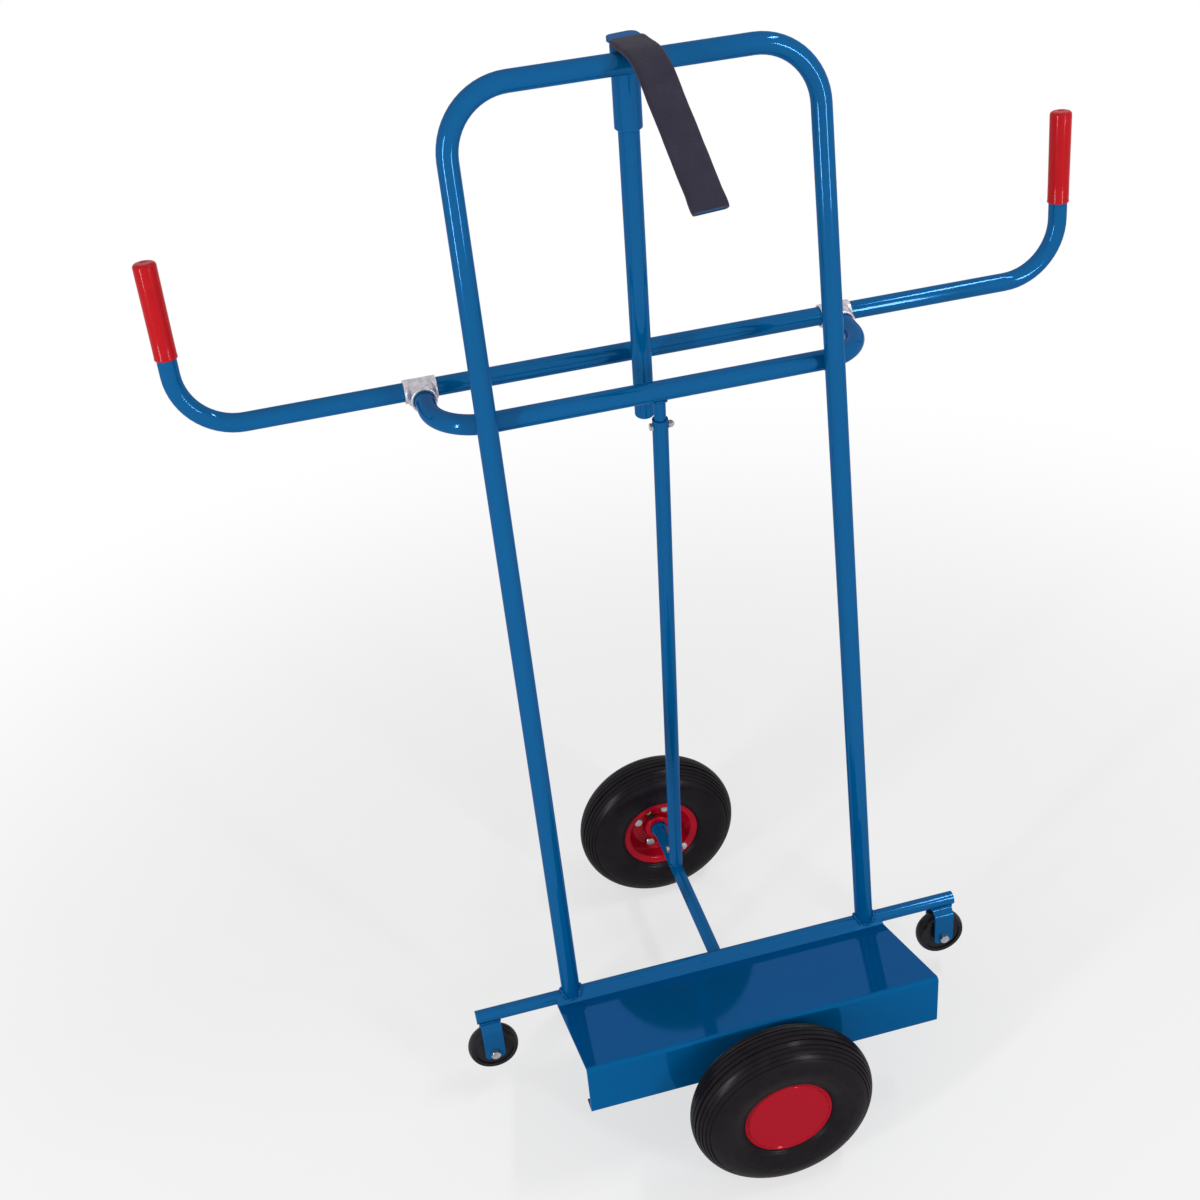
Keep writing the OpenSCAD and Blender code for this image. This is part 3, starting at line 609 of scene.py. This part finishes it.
# Valve pieces as (radius, distance from the axle) points
VALVE_FOOT = [(0, 40), (4.3, 40), (4.6, 42), (5.4, 45), (6.4, 47.6), (6.4, 48.7), (0, 48.7)]
VALVE_COLLAR = [(0, 29.0), (3.9, 29.0), (3.9, 36.0), (5.4, 36.2), (5.7, 36.6), (5.7, 39.6), (5.4, 40),
                (0, 40)]
VALVE_CAP = [(0, 23.3), (3.4, 23.3), (4.5, 24.1), (4.8, 25.0), (4.8, 31.6), (4.5, 32.0), (0, 32.0)]


def tyre_depth(angle):
    """How deep the tyre's outside lies under the plain round of its section, in millimetres."""
    turn = abs(angle)
    depth = 0.0
    for at, half, deep in TREAD:
        share = abs(turn - at) / half
        if share < 1:
            depth = max(depth, deep * min(1.0, GROOVE_FULLNESS * (1 - share ** 2)))
    if turn > SIDE_STEP:
        depth += SIDE_IN * min(1.0, (turn - SIDE_STEP) / SIDE_SLOPE)
    rise = (turn - RIM_RING[0] + RING_SLOPE) / RING_SLOPE
    fall = (RIM_RING[1] + RING_SLOPE - turn) / RING_SLOPE
    if rise > 0 and fall > 0:
        depth -= SIDE_IN * min(1.0, rise, fall)
    return depth


def tyre_outside():
    """The tyre's outside from one bead to the other, with points where the tread and sides need them."""
    end = math.degrees(math.acos((RIM_OPENING - TYRE_MID) / TYRE_R))
    stops = set(range(0, int(end), PLAIN_STEP)) | {end}
    for at, half, _ in TREAD:
        stops |= {at + half * k for k in GROOVE_STOPS}
    stops |= {SIDE_STEP, SIDE_STEP + SIDE_SLOPE / 2, SIDE_STEP + SIDE_SLOPE}
    stops |= {RIM_RING[0] - RING_SLOPE, RIM_RING[0], RIM_RING[1], RIM_RING[1] + RING_SLOPE}
    half_turn = sorted(s for s in stops if 0 < s <= end)
    outside = []
    for angle in [-a for a in reversed(half_turn)] + [0] + half_turn:
        reach = TYRE_R - tyre_depth(angle)
        outside.append((TYRE_MID + reach * math.cos(math.radians(angle)),
                        reach * math.sin(math.radians(angle))))
    return outside


def tyre_section():
    """Section of a tyre: tread and sides outside, beads and the tube's room inside."""
    outside = tyre_outside()
    room = TYRE_R - TYRE_WALL
    room_end = 180 - math.degrees(math.asin(BEAD_IN / room))
    lip_r = RIM_OPENING - 0.8
    lip_in = 0.9
    seat = [(BEAD_R + 6.0, BEAD_OUT), (BEAD_R + 2.9, BEAD_OUT - 3.0), (BEAD_R + 0.9, BEAD_IN)]
    inside = [(lip_r, outside[-1][1] - lip_in), (lip_r, BEAD_OUT)] + seat
    inside += arc((TYRE_MID, 0), room, room_end, -room_end, 40)
    inside += [(r, -z) for r, z in reversed(seat)]
    inside += [(lip_r, -BEAD_OUT), (lip_r, outside[0][1] + lip_in)]
    return outside + inside


def rim_section():
    """Section of half a rim: hub dome, flat middle, bead seat and a curled edge."""
    curl_from = 150
    path = [RIM_DOME, (RIM_HUB_R, RIM_DOME[1]), (RIM_HUB_R, RIM_T / 2), (RIM_WEB_R, RIM_T / 2),
            RIM_SEAT_LOW, RIM_SEAT_TOP,
            (RIM_EDGE_R + RIM_CURL * math.cos(math.radians(curl_from)), RIM_EDGE_OUT)]
    one, other = strip_sides(path, RIM_BENDS, RIM_T)
    curl = arc((RIM_EDGE_R, RIM_EDGE_OUT), RIM_CURL, curl_from, -curl_from, 14)
    return one[:-1] + curl + other[-2::-1]


def cap_section():
    """Section of the flat wheel cover: its disc, a groove inside the edge, and the skirt that holds it."""
    face = RIM_EDGE_OUT + RIM_T / 2
    back = face - 0.6
    skirt_end = face - 9
    skirt_out = BEAD_R - RIM_T - 0.1
    skirt_in = BEAD_R - RIM_T - 2
    return [(0, face + 0.75), (50, face + 0.8), (56.4, face + 0.8), (56.9, face + 0.3),
            (57.5, face + 0.3), (58.0, face + 0.75), (58.7, face + 0.75), (CAP_R, face + 0.4),
            (CAP_R, face), (skirt_out, face), (skirt_out, skirt_end), (skirt_in, skirt_end),
            (skirt_in, back), (0, back)]


def wheel_place(hub, side):
    """Local z points outwards along the axle, for side 1 to the back and for side -1 to the front."""
    turn = Matrix(((1, 0, 0, 0), (0, 0, side, 0), (0, 1, 0, 0), (0, 0, 0, 1)))
    return Matrix.Translation(hub) @ turn


def ridge_path(face):
    """Points of a mould ridge over one shoulder of the tyre, its outer one for face 1."""
    reach = TYRE_R + 0.05
    start, end = RIDGE_SPAN
    points = []
    for k in range(11):
        a = math.radians(start + (end - start) * k / 10)
        points.append(((TYRE_MID + reach * math.cos(a)) * MM, 0, face * (reach * math.sin(a) * MM)))
    return points


def make_tyre(which, hub, side, body):
    """Tyre with its tread, side steps and mould ridges, in place of the plain solid."""
    place = wheel_place(hub, side)
    name = which + "_tyre_tread"
    parts = [turned(name, tyre_section(), place, TYRE, steps=192, sharp=60)]
    for face, first in RIDGE_TURNS:
        points = ridge_path(face)
        ridges = RIDGES.run(which + "_ridges", points, chain(len(points)), Count=RIDGE_COUNT,
                            Thick=RIDGE_R * MM, First=first, Material=TYRE)
        parts.append(settle(ridges, place))
    piece(name, joined(parts, TYRE), body, [which + "_tyre"])


def make_rims(which, hub, side, body):
    """Both pressed halves of the rim, and the cover over the outer one."""
    for half, face in (("outer", side), ("inner", -side)):
        node = which + "_rim_" + half
        rim = turned(node + "_dish", rim_section(), wheel_place(hub, face), RED, steps=96)
        piece(node + "_dish", rim, body, [node])
    cap = turned(which + "_cover", cap_section(), wheel_place(hub, side), RED, steps=128)
    piece(which + "_cover", cap, body, [which + "_cap"])


def make_valve(which, hub, side, body):
    """Rubber foot, brass collar and dust cap over the tube's valve stem."""
    turn = math.radians(VALVE_TURN)
    out = Vector((math.cos(turn), 0, math.sin(turn)))
    inner_side = Matrix.Translation(hub - BACK * side * VALVE_IN * MM)
    place = inner_side @ out.to_track_quat("Z", "Y").to_matrix().to_4x4()
    for part, section, material, slot in (("foot", VALVE_FOOT, TUBE, "tube_rubber"),
                                          ("collar", VALVE_COLLAR, BRASS, "zinc_steel"),
                                          ("cap", VALVE_CAP, TUBE, "tube_rubber")):
        name = which + "_valve_" + part
        mesh = turned(name, section, place, material, steps=40, closed=False)
        piece(name, mesh, body)


def make_wheels():
    """Everything on both wheels that the scene adds or makes finer."""
    for which, hub, side in (("front", FRONT_HUB, -1), ("rear", REAR_HUB, 1)):
        body = which + "_wheel"
        make_tyre(which, hub, side, body)
        make_rims(which, hub, side, body)
        make_valve(which, hub, side, body)


# Handle

# Clamps: the squares of the cast skin in millimetres, and how often it is smoothed
CAST_GRAIN = 0.85
CAST_SOFTENING = 5


def make_grips():
    """Soft grips with a slightly domed top and a rolled lower lip."""
    top = GRIP_TOP
    low = GRIP_TOP - GRIP_LEN
    bore = BAR_TUBE_R + 0.05
    neck = GRIP_R - 0.35
    lip = 0.9
    dome = 4.6
    outside = [(bore, low), (GRIP_R - lip, low)]
    outside += arc((GRIP_R - lip, low + lip), lip, -90, 0, 5)[1:]
    outside += [(GRIP_R, low + 2.6), (neck, low + 3.6), (neck, low + 30), (GRIP_R - 0.15, top - 40)]
    outside += arc((GRIP_R - dome, top - 4.9), dome, 2, 86, 9)
    outside += [(7.2, top - 0.05), (5.6, top), (4.8, top - 0.5), (2.5, top - 0.7), (0, top - 0.75)]
    inside = [(0, top - 4.2), (bore, top - 4.2)]
    shape = outside + inside + [outside[0]]
    bar_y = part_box("handle_bar")[0].y + BAR_TUBE_R * MM
    bar_place = (Matrix.Translation(Vector((GRIP_SHIFT * MM, bar_y, HANDLE_Z * MM)))
                 @ Matrix.Rotation(math.radians(-GRIP_LEAN), 4, "X"))
    for side, name in ((-1, "grip_left"), (1, "grip_right")):
        place = bar_place @ Matrix.Translation((side * GRIP_HALF * MM, 0, 0))
        mesh = turned(name + "_sleeve", shape, place, GRIP, steps=72, closed=False)
        piece(name + "_sleeve", mesh, "cart", [name])


def make_clamps():
    """The cast tees: the solid's shape with its corners filled and rounded as in a casting."""
    for name in ("clamp_left", "clamp_right"):
        work = bmesh.new()
        work.from_mesh(frame["nodes"][name].data)
        bmesh.ops.remove_doubles(work, verts=work.verts, dist=1e-6)
        copy = bpy.data.meshes.new(name + "_casting")
        work.to_mesh(copy)
        work.free()
        holder = new_object(name + "_casting", copy)
        skin = holder.modifiers.new("skin", "REMESH")
        skin.mode = "VOXEL"
        skin.voxel_size = CAST_GRAIN * MM
        soft = holder.modifiers.new("soft", "SMOOTH")
        soft.factor = 0.5
        soft.iterations = CAST_SOFTENING
        mesh = finished_mesh(holder)
        mesh.materials.clear()
        mesh.materials.append(CASTING)
        mesh.shade_smooth()
        piece(name + "_casting", mesh, "cart", [name])


# Hold-down arm

# Rings of points along the foam: over the flat part, round the bend and down the slope
FLAT_RINGS = 12
BEND_RINGS = 16
SLOPE_RINGS = 36

# Points of one ring: steps round a corner, and cuts of its short sides and of its long ones
CORNER_STEPS = 5
RING_CUTS = (2, 12)

# The foam's ends, ring by ring: how far the skin draws in at both, and at the open end how much the
# outside and the slot widen; the outside gains MOUTH_TALLER times as much in height
LIP_DRAW = (0.75, 0.30, 0.08)
MOUTH = ((1.02, 0.90), (1.035, 0.91), (1.03, 1.0), (1.02, 1.0), (1.01, 1.0))
MOUTH_TALLER = 6

# How much further out the foam's underside starts, clear of the mast
MAST_GAP = 6.0


def rounded_box(width, height, radius):
    """Points round a box with round corners, its straight sides cut into short steps."""
    corners = []
    for sx, sy, start in ((1, -1, -90), (1, 1, 0), (-1, 1, 90), (-1, -1, 180)):
        centre = (sx * (width / 2 - radius), sy * (height / 2 - radius))
        corners += arc(centre, radius, start, start + 90, CORNER_STEPS)
    points = []
    for number, (here, after) in enumerate(zip(corners, corners[1:] + corners[:1])):
        corner, step = divmod(number, CORNER_STEPS + 1)
        cuts = RING_CUTS[corner % 2] if step == CORNER_STEPS else 1
        for k in range(cuts):
            points.append((here[0] + (after[0] - here[0]) * k / cuts,
                           here[1] + (after[1] - here[1]) * k / cuts))
    return points


def arm_stations():
    """Points along the middle of the arm's bar, from the mast outwards, as (x, z, slope)."""
    slope = math.radians(ARM_ANGLE)
    cut = ARM_BEND * math.tan(slope / 2)
    bend_at = ARM_FLAT - cut
    stations = []
    for k in range(FLAT_RINGS):
        stations.append((FOAM_FROM + (bend_at - FOAM_FROM) * k / FLAT_RINGS, ARM_RISE, 0.0))
    for k in range(BEND_RINGS + 1):
        a = slope * k / BEND_RINGS
        stations.append((bend_at + ARM_BEND * math.sin(a), ARM_RISE - ARM_BEND * (1 - math.cos(a)), a))
    x, z = stations[-1][:2]
    straight = ARM_DROP + FOAM_PAST - cut
    for k in range(1, SLOPE_RINGS + 1):
        reach = straight * k / SLOPE_RINGS
        stations.append((x + reach * math.cos(slope), z - reach * math.sin(slope), slope))
    return stations


def foam_swell(x, across, high, z):
    """How far the foam's skin stands off its plain box at one point, in millimetres."""
    face = 3.1 if high > 0 else 0
    broad = noise.noise(Vector((x * 0.045, across * 0.05, z * 0.045 + face)))
    fine = noise.noise(Vector((x * 0.3, across * 0.3, z * 0.3)))
    swell = 0.35 * broad - 0.15 + 0.12 * fine
    on_seam = high < -FOAM_SIZE[1] / 2 + 0.2 and abs(across) < 1.2
    return swell - 0.5 if on_seam else swell


def foam_ring(ring, outside, station, from_mast, from_mouth):
    """One ring of points across the foam, of its outside or of its slot."""
    x, z, slope = station
    from_end = min(from_mast, from_mouth)
    wider, slot = MOUTH[from_mouth] if from_mouth < len(MOUTH) else (1.0, 1.0)
    draw = LIP_DRAW[from_end] if from_end < len(LIP_DRAW) else 0.0
    points = []
    for across, high in ring:
        if outside:
            across *= wider
            high *= 1.0 + (wider - 1.0) * MOUTH_TALLER
            swell = foam_swell(x, across, high, z) if from_end > 0 else 0.0
            across *= 1 + (swell - draw) / (FOAM_SIZE[0] / 2)
            high *= 1 + (swell - draw) / (FOAM_SIZE[1] / 2)
        else:
            across *= slot
        past = MAST_GAP if from_mast == 0 and high < 0 else 0.0
        points.append(Vector((x + past * math.cos(slope) + high * math.sin(slope), across,
                              z + high * math.cos(slope))))
    return points


def make_foam():
    """A tube of soft foam pulled over the arm, open at its lower end."""
    stations = arm_stations()
    rows = len(stations)
    skin = rounded_box(*FOAM_SIZE)
    slot = rounded_box(*FOAM_SLOT)
    count = len(skin)
    points = []
    for ring, outside in ((skin, True), (slot, False)):
        for number, station in enumerate(stations):
            points += foam_ring(ring, outside, station, number, rows - 1 - number)
    faces = skin_faces(rows, count) + skin_faces(rows, count, first=rows * count)
    for row in (0, rows - 1):
        for here in range(count):
            after = (here + 1) % count
            faces.append((row * count + here, row * count + after,
                          (rows + row) * count + after, (rows + row) * count + here))
    mesh = bpy.data.meshes.new("arm_foam_sleeve")
    mesh.from_pydata([tuple(p * MM) for p in points], [], faces)
    mesh.materials.append(FOAM)
    lean = -math.atan2(MAST_DIR.y, MAST_DIR.z)
    place = (Matrix.Translation(MAST_TOP) @ Matrix.Rotation(lean, 4, "X")
             @ Matrix.Rotation(math.radians(ARM_YAW - 90), 4, "Z"))
    settle(mesh, place, sharp=70)
    sleeve = piece("arm_foam_sleeve", mesh, "arm", ["arm_foam"])


# Welds

UPRIGHT = Vector((0, math.sin(math.radians(FRAME_LEAN)), math.cos(math.radians(FRAME_LEAN))))
STRUT = Vector((0, -math.sin(math.radians(STRUT_LEAN)), math.cos(math.radians(STRUT_LEAN))))
BRACKET_RAIL = Vector((0, BRACKET_Y * MM, HANDLE_Z * MM))

# The plate's seam: rings along the sheet, and steps over its hollow face and over the bar
SEAM_RINGS = 171
SEAM_FACE = 14
SEAM_CROWN = 6


def seam(foot, along, radius, bar, bar_along, bar_radius, start, end, steps=24, far=False, lift=1.2):
    """Path of a weld in the crease where a tube meets a bar, in metres, lift millimetres off both.

    It runs round the tube from the start angle to the end angle, in degrees from the bar's direction."""
    along = along.normalized()
    bar_along = bar_along.normalized()
    first = bar_along - along * bar_along.dot(along)
    if first.length < 1e-3:
        first = RIGHT - along * RIGHT.dot(along)
    first.normalize()
    second = along.cross(first)
    reach = radius + lift * MM
    wanted = bar_radius + lift * MM
    path = []
    for k in range(steps + 1):
        a = math.radians(start + (end - start) * k / steps)
        edge = foot + (first * math.cos(a) + second * math.sin(a)) * reach - bar
        flat = edge - bar_along * edge.dot(bar_along)
        step = along - bar_along * along.dot(bar_along)
        # How far along the tube the bead lies off the bar: the roots of a quadratic
        qa, qb, qc = step.length_squared, 2 * flat.dot(step), flat.length_squared - wanted ** 2
        inner = qb * qb - 4 * qa * qc
        if inner < 0:
            continue
        root = (-qb + (-1 if far else 1) * math.sqrt(inner)) / (2 * qa)
        path.append(bar + edge + along * root)
    return path


def make_bead(name, paths, seed, width=2.1, length=1.5, pitch=1.9):
    """One piece of weld that lies along several paths, with its scales' sizes in millimetres."""
    points = []
    edges = []
    for path in paths:
        if len(path) > 1:
            edges += chain(len(path), len(points))
            points += path
    mesh = BEADS.run(name, points, edges, Pitch=pitch * MM, Length=length * MM, Width=width * MM,
                     Unevenness=0.16, Seed=seed, Material=BLUE)
    piece(name, mesh, "cart")


def upright_foot(side):
    """Where an upright's middle line meets the roller bar's."""
    return Vector((side * FRAME_HALF * MM, BAR.y, BAR.z))


def weld_frame_feet():
    """Beads round each upright's foot: at its left and right, then before and behind it."""
    spread = 48
    front_spread = 42
    paths = []
    for side in (-1, 1):
        foot = upright_foot(side)
        for turn in (0, 180):
            paths.append(seam(foot, UPRIGHT, TUBE_R * MM, BAR, RIGHT, BAR_R, turn - spread, turn + spread))
        reach = (TUBE_R - 0.7) * MM
        for face in (-1, 1):
            path = []
            for k in range(13):
                a = math.radians(face * 90 - front_spread + 2 * front_spread * k / 12)
                path.append(foot + Vector((math.cos(a) * reach, math.sin(a) * reach * 0.98, 1.2 * MM)))
            paths.append(path)
    make_bead("weld_frame_feet", paths, seed=3, width=2.6, length=1.9, pitch=2.6)


def weld_bracket():
    """Beads over and under the handle bracket's tube, where it touches the uprights."""
    paths = []
    for side in (-1, 1):
        knee = upright_foot(side) + UPRIGHT * ((HANDLE_Z * MM - BAR.z) / UPRIGHT.z)
        for far in (False, True):
            paths.append(seam(knee, UPRIGHT, TUBE_R * MM, BRACKET_RAIL, RIGHT, TUBE_R * MM, 60, 120,
                              far=far, lift=2.6))
    make_bead("weld_bracket", paths, seed=5)


def weld_sleeve():
    """Beads over and under the top bow, where the mast's sleeve touches it."""
    bow = Vector((0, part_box("back_frame")[1].y - TUBE_R * MM, FRAME_TOP - TUBE_R * MM))
    paths = [seam(MAST_TOP, MAST_DIR, SLEEVE_R * MM, bow, RIGHT, TUBE_R * MM, 240, 300,
                  far=far, lift=2.6) for far in (False, True)]
    make_bead("weld_sleeve", paths, seed=7)


def weld_strut():
    """Beads round the strut's stubs, on the axle and on the handle bracket."""
    low = Vector((0, STRUT_Y * MM, FRONT_HUB.z))
    paths = [seam(low, STRUT, STUB_R * MM, low, BACK, AXLE_R, 0, 360, steps=48),
             seam(BRACKET_RAIL, -STRUT, STUB_R * MM, BRACKET_RAIL, RIGHT, TUBE_R * MM, 0, 360, steps=48)]
    make_bead("weld_strut", paths, seed=11, width=1.8)


def weld_axle():
    """Beads where the roller bar crosses the axle, and a lump of weld behind it on each side."""
    axle = Vector((0, BAR.y, FRONT_HUB.z))
    paths = [seam(axle, BACK, AXLE_R, BAR, RIGHT, BAR_R, 215, 325, far=far, lift=3.6)
             for far in (False, True)]
    for side in (-1, 1):
        lump = Vector((side * (AXLE_R + 1.6 * MM), BAR.y + BAR_R + 0.8 * MM, FRONT_HUB.z))
        paths.append([lump + Vector((side * 0.4 * MM * k, 0, (2 * k - 3) * MM)) for k in range(5)])
    make_bead("weld_axle", paths, seed=13, width=3.4, length=2.4, pitch=2.8)


def weld_forks():
    """Beads before and behind the roller bar, over each fork's crown."""
    half = 15 * MM
    crown = middle("fork_left").z + extent("fork_left").z / 2
    reach = 2 * math.sqrt(BAR_R * 1.3 * MM)
    paths = []
    for name in ("fork_left", "fork_right"):
        at = middle(name).x
        for face in (-1, 1):
            paths.append([Vector((at - half + 2 * half * k / 8, BAR.y + face * reach, crown + 1.1 * MM))
                          for k in range(9)])
    make_bead("weld_forks", paths, seed=17)


def make_welds():
    """All the beads of weld between the frame's tubes and bars."""
    weld_frame_feet()
    weld_bracket()
    weld_sleeve()
    weld_strut()
    weld_axle()
    weld_forks()


def plate_seam_section():
    """Section of the plate's seam as (y, z) points round the bar's middle, from its toe upwards."""
    edge = (-PLATE_TOUCH * math.cos(math.radians(PLATE_MEET)),
            -PLATE_TOUCH * math.sin(math.radians(PLATE_MEET)))
    toe = (-PLATE_TOE, edge[1] + (PLATE_TOE + edge[0]) * math.tan(math.radians(PLATE_SLOPE)))
    reach = BAR_R / MM + 0.12
    lean = math.degrees(math.atan2(-toe[1], -toe[0]) + math.asin(reach / math.hypot(*toe)))
    meet = (-reach * math.sin(math.radians(lean)), reach * math.cos(math.radians(lean)))
    section = []
    for k in range(SEAM_FACE + 1):
        share = k / SEAM_FACE
        sag = 1.1 * math.sin(math.pi * share)
        section.append((toe[0] + (meet[0] - toe[0]) * share + sag * math.sin(math.radians(lean)),
                        toe[1] + (meet[1] - toe[1]) * share - sag * math.cos(math.radians(lean))))
    section += arc((0, 0), reach, 90 + lean, 90 + lean - 26, SEAM_CROWN)[1:]
    section.append((0.82 * section[-1][0], 0.90 * section[-1][1]))
    section += [(edge[0] * 0.6, edge[1]), (edge[0], edge[1] - 1.0), (toe[0], toe[1] - 1.2)]
    return section


def make_plate_seam():
    """The dressed weld that runs the whole length of the plate, from the sheet up on to the bar."""
    section = plate_seam_section()
    count = len(section)
    points = []
    for ring in range(SEAM_RINGS):
        x = -PLATE_HALF + 2 * PLATE_HALF * ring / (SEAM_RINGS - 1)
        for number, (y, z) in enumerate(section):
            on_face = 0 < number < SEAM_FACE
            swell = 0.16 * noise.noise(Vector((x * 0.06, y * 0.12, 4.0))) if on_face else 0.0
            points.append((x * MM, BAR.y + (y - swell * 0.5) * MM, BAR.z + (z + swell) * MM))
    last = (SEAM_RINGS - 1) * count
    faces = [tuple(range(count)), tuple(range(last, last + count))] + skin_faces(SEAM_RINGS, count)
    mesh = bpy.data.meshes.new("weld_plate")
    mesh.from_pydata(points, [], faces)
    mesh.materials.append(BLUE)
    piece("weld_plate", settle(mesh, Matrix.Identity(4), sharp=50), "cart")


# Stage, light and camera

# Camera, in pixels of the image, metres and degrees
IMAGE = 1200
FOCAL = 1681.4
PRINCIPAL = (614.03, 587.19)
CAMERA_PLACE = Vector((-0.49438, -1.78325, 1.99475))
CAMERA_TURN = [math.radians(a) for a in (56.999, 4.262, -15.114)]

# Floor, with the distances over which it turns white to the eye and how white it is at first
FLOOR_HALF = 40.0
FLOOR_Z = -0.0005
FADE_FROM = 0.7
FADE_TO = 2.2
FADE_SHARE = 0.6

# Strength of the light from all round
WORLD_LIGHT = 0.40

# Lamps: name, place, aim, size in metres and power in watts
LAMPS = [
    ("left_strip", (-2.7, -1.65, 1.4), (-0.23, 0.06, 1.4), (0.20, 1.5), 46),
    ("right_strip", (1.5, -2.7, 1.5), (0.0, 0.06, 1.5), (0.24, 1.3), 30),
    ("top_strip", (1.5, -0.4, 3.4), (0.2, -0.1, 0.7), (1.1, 0.16), 22),
]


def make_camera():
    """The photograph's camera, with its focal length and middle given in pixels of the image."""
    data = bpy.data.cameras.new("camera")
    data.sensor_width = 36.0
    data.lens = FOCAL / IMAGE * data.sensor_width
    data.shift_x = (IMAGE / 2 - PRINCIPAL[0]) / IMAGE
    data.shift_y = (PRINCIPAL[1] - IMAGE / 2) / IMAGE
    camera = new_object("camera", data)
    camera.location = CAMERA_PLACE
    camera.rotation_euler = CAMERA_TURN
    bpy.context.scene.camera = camera


def seen_rays(tree):
    """1 for camera, mirror and glass rays, and 0 for the rays that light the object."""
    rays = tree.nodes.new("ShaderNodeLightPath")
    total = rays.outputs["Is Camera Ray"]
    for label in ("Is Glossy Ray", "Is Transmission Ray"):
        both = tree.nodes.new("ShaderNodeMath")
        both.operation = "ADD"
        both.use_clamp = True
        tree.links.new(total, both.inputs[0])
        tree.links.new(rays.outputs[label], both.inputs[1])
        total = both.outputs[0]
    return total


def floor_finish():
    """Matt pale grey that keeps the shadow, and turns white to the eye further out."""
    s = Shader("floor")
    s.finish(Base_Color=(0.90, 0.90, 0.90, 1), Roughness=0.9, Specular_IOR_Level=0.0)
    distance = s.add("ShaderNodeVectorMath", operation="LENGTH")
    s.link(s.place, distance.inputs[0])
    fade = s.add("ShaderNodeMapRange", interpolation_type="SMOOTHSTEP")
    fade.inputs["From Min"].default_value = FADE_FROM
    fade.inputs["From Max"].default_value = FADE_TO
    fade.inputs["To Min"].default_value = FADE_SHARE
    s.link(distance.outputs["Value"], fade.inputs["Value"])
    share = s.add("ShaderNodeMath", operation="MULTIPLY")
    s.link(fade.outputs["Result"], share.inputs[0])
    s.link(seen_rays(s.tree), share.inputs[1])
    white = s.add("ShaderNodeEmission")
    white.inputs["Strength"].default_value = 1.0
    mix = s.add("ShaderNodeMixShader")
    s.link(share.outputs[0], mix.inputs["Fac"])
    s.link(s.surface.outputs[0], mix.inputs[1])
    s.link(white.outputs[0], mix.inputs[2])
    s.link(mix.outputs[0], s.tree.nodes["Material Output"].inputs["Surface"])
    return s.material


def make_floor():
    """A wide floor under the cart."""
    mesh = bpy.data.meshes.new("floor")
    half = FLOOR_HALF
    mesh.from_pydata([(-half, -half, FLOOR_Z), (half, -half, FLOOR_Z), (half, half, FLOOR_Z),
                      (-half, half, FLOOR_Z)], [], [(0, 1, 2, 3)])
    mesh.materials.append(floor_finish())
    new_object("floor", mesh)


def soft_box(name, place, aim, size, power):
    """A rectangular lamp that is aimed at a point and isn't seen itself."""
    data = bpy.data.lights.new(name, "AREA")
    data.shape = "RECTANGLE"
    data.size = size[0]
    data.size_y = size[1]
    data.energy = power
    lamp = new_object(name, data)
    lamp.location = place
    lamp.rotation_euler = (Vector(aim) - Vector(place)).to_track_quat("-Z", "Y").to_euler()
    lamp.visible_camera = False


def make_light():
    """Soft light from all round, a white background to the eye, and three narrow lamps."""
    world = bpy.data.worlds.new("studio")
    bpy.context.scene.world = world
    world.use_nodes = True
    tree = world.node_tree
    level = tree.nodes.new("ShaderNodeMapRange")
    level.inputs["To Min"].default_value = WORLD_LIGHT
    level.inputs["To Max"].default_value = 1.0
    tree.links.new(seen_rays(tree), level.inputs["Value"])
    background = tree.nodes["Background"].inputs
    background["Color"].default_value = (1, 1, 1, 1)
    tree.links.new(level.outputs["Result"], background["Strength"])
    for lamp in LAMPS:
        soft_box(*lamp)


finish_cad_nodes()
make_wheels()
make_grips()
make_clamps()
make_foam()
make_welds()
make_plate_seam()
make_floor()
make_light()
make_camera()
bpy.context.scene.view_settings.view_transform = "Standard"
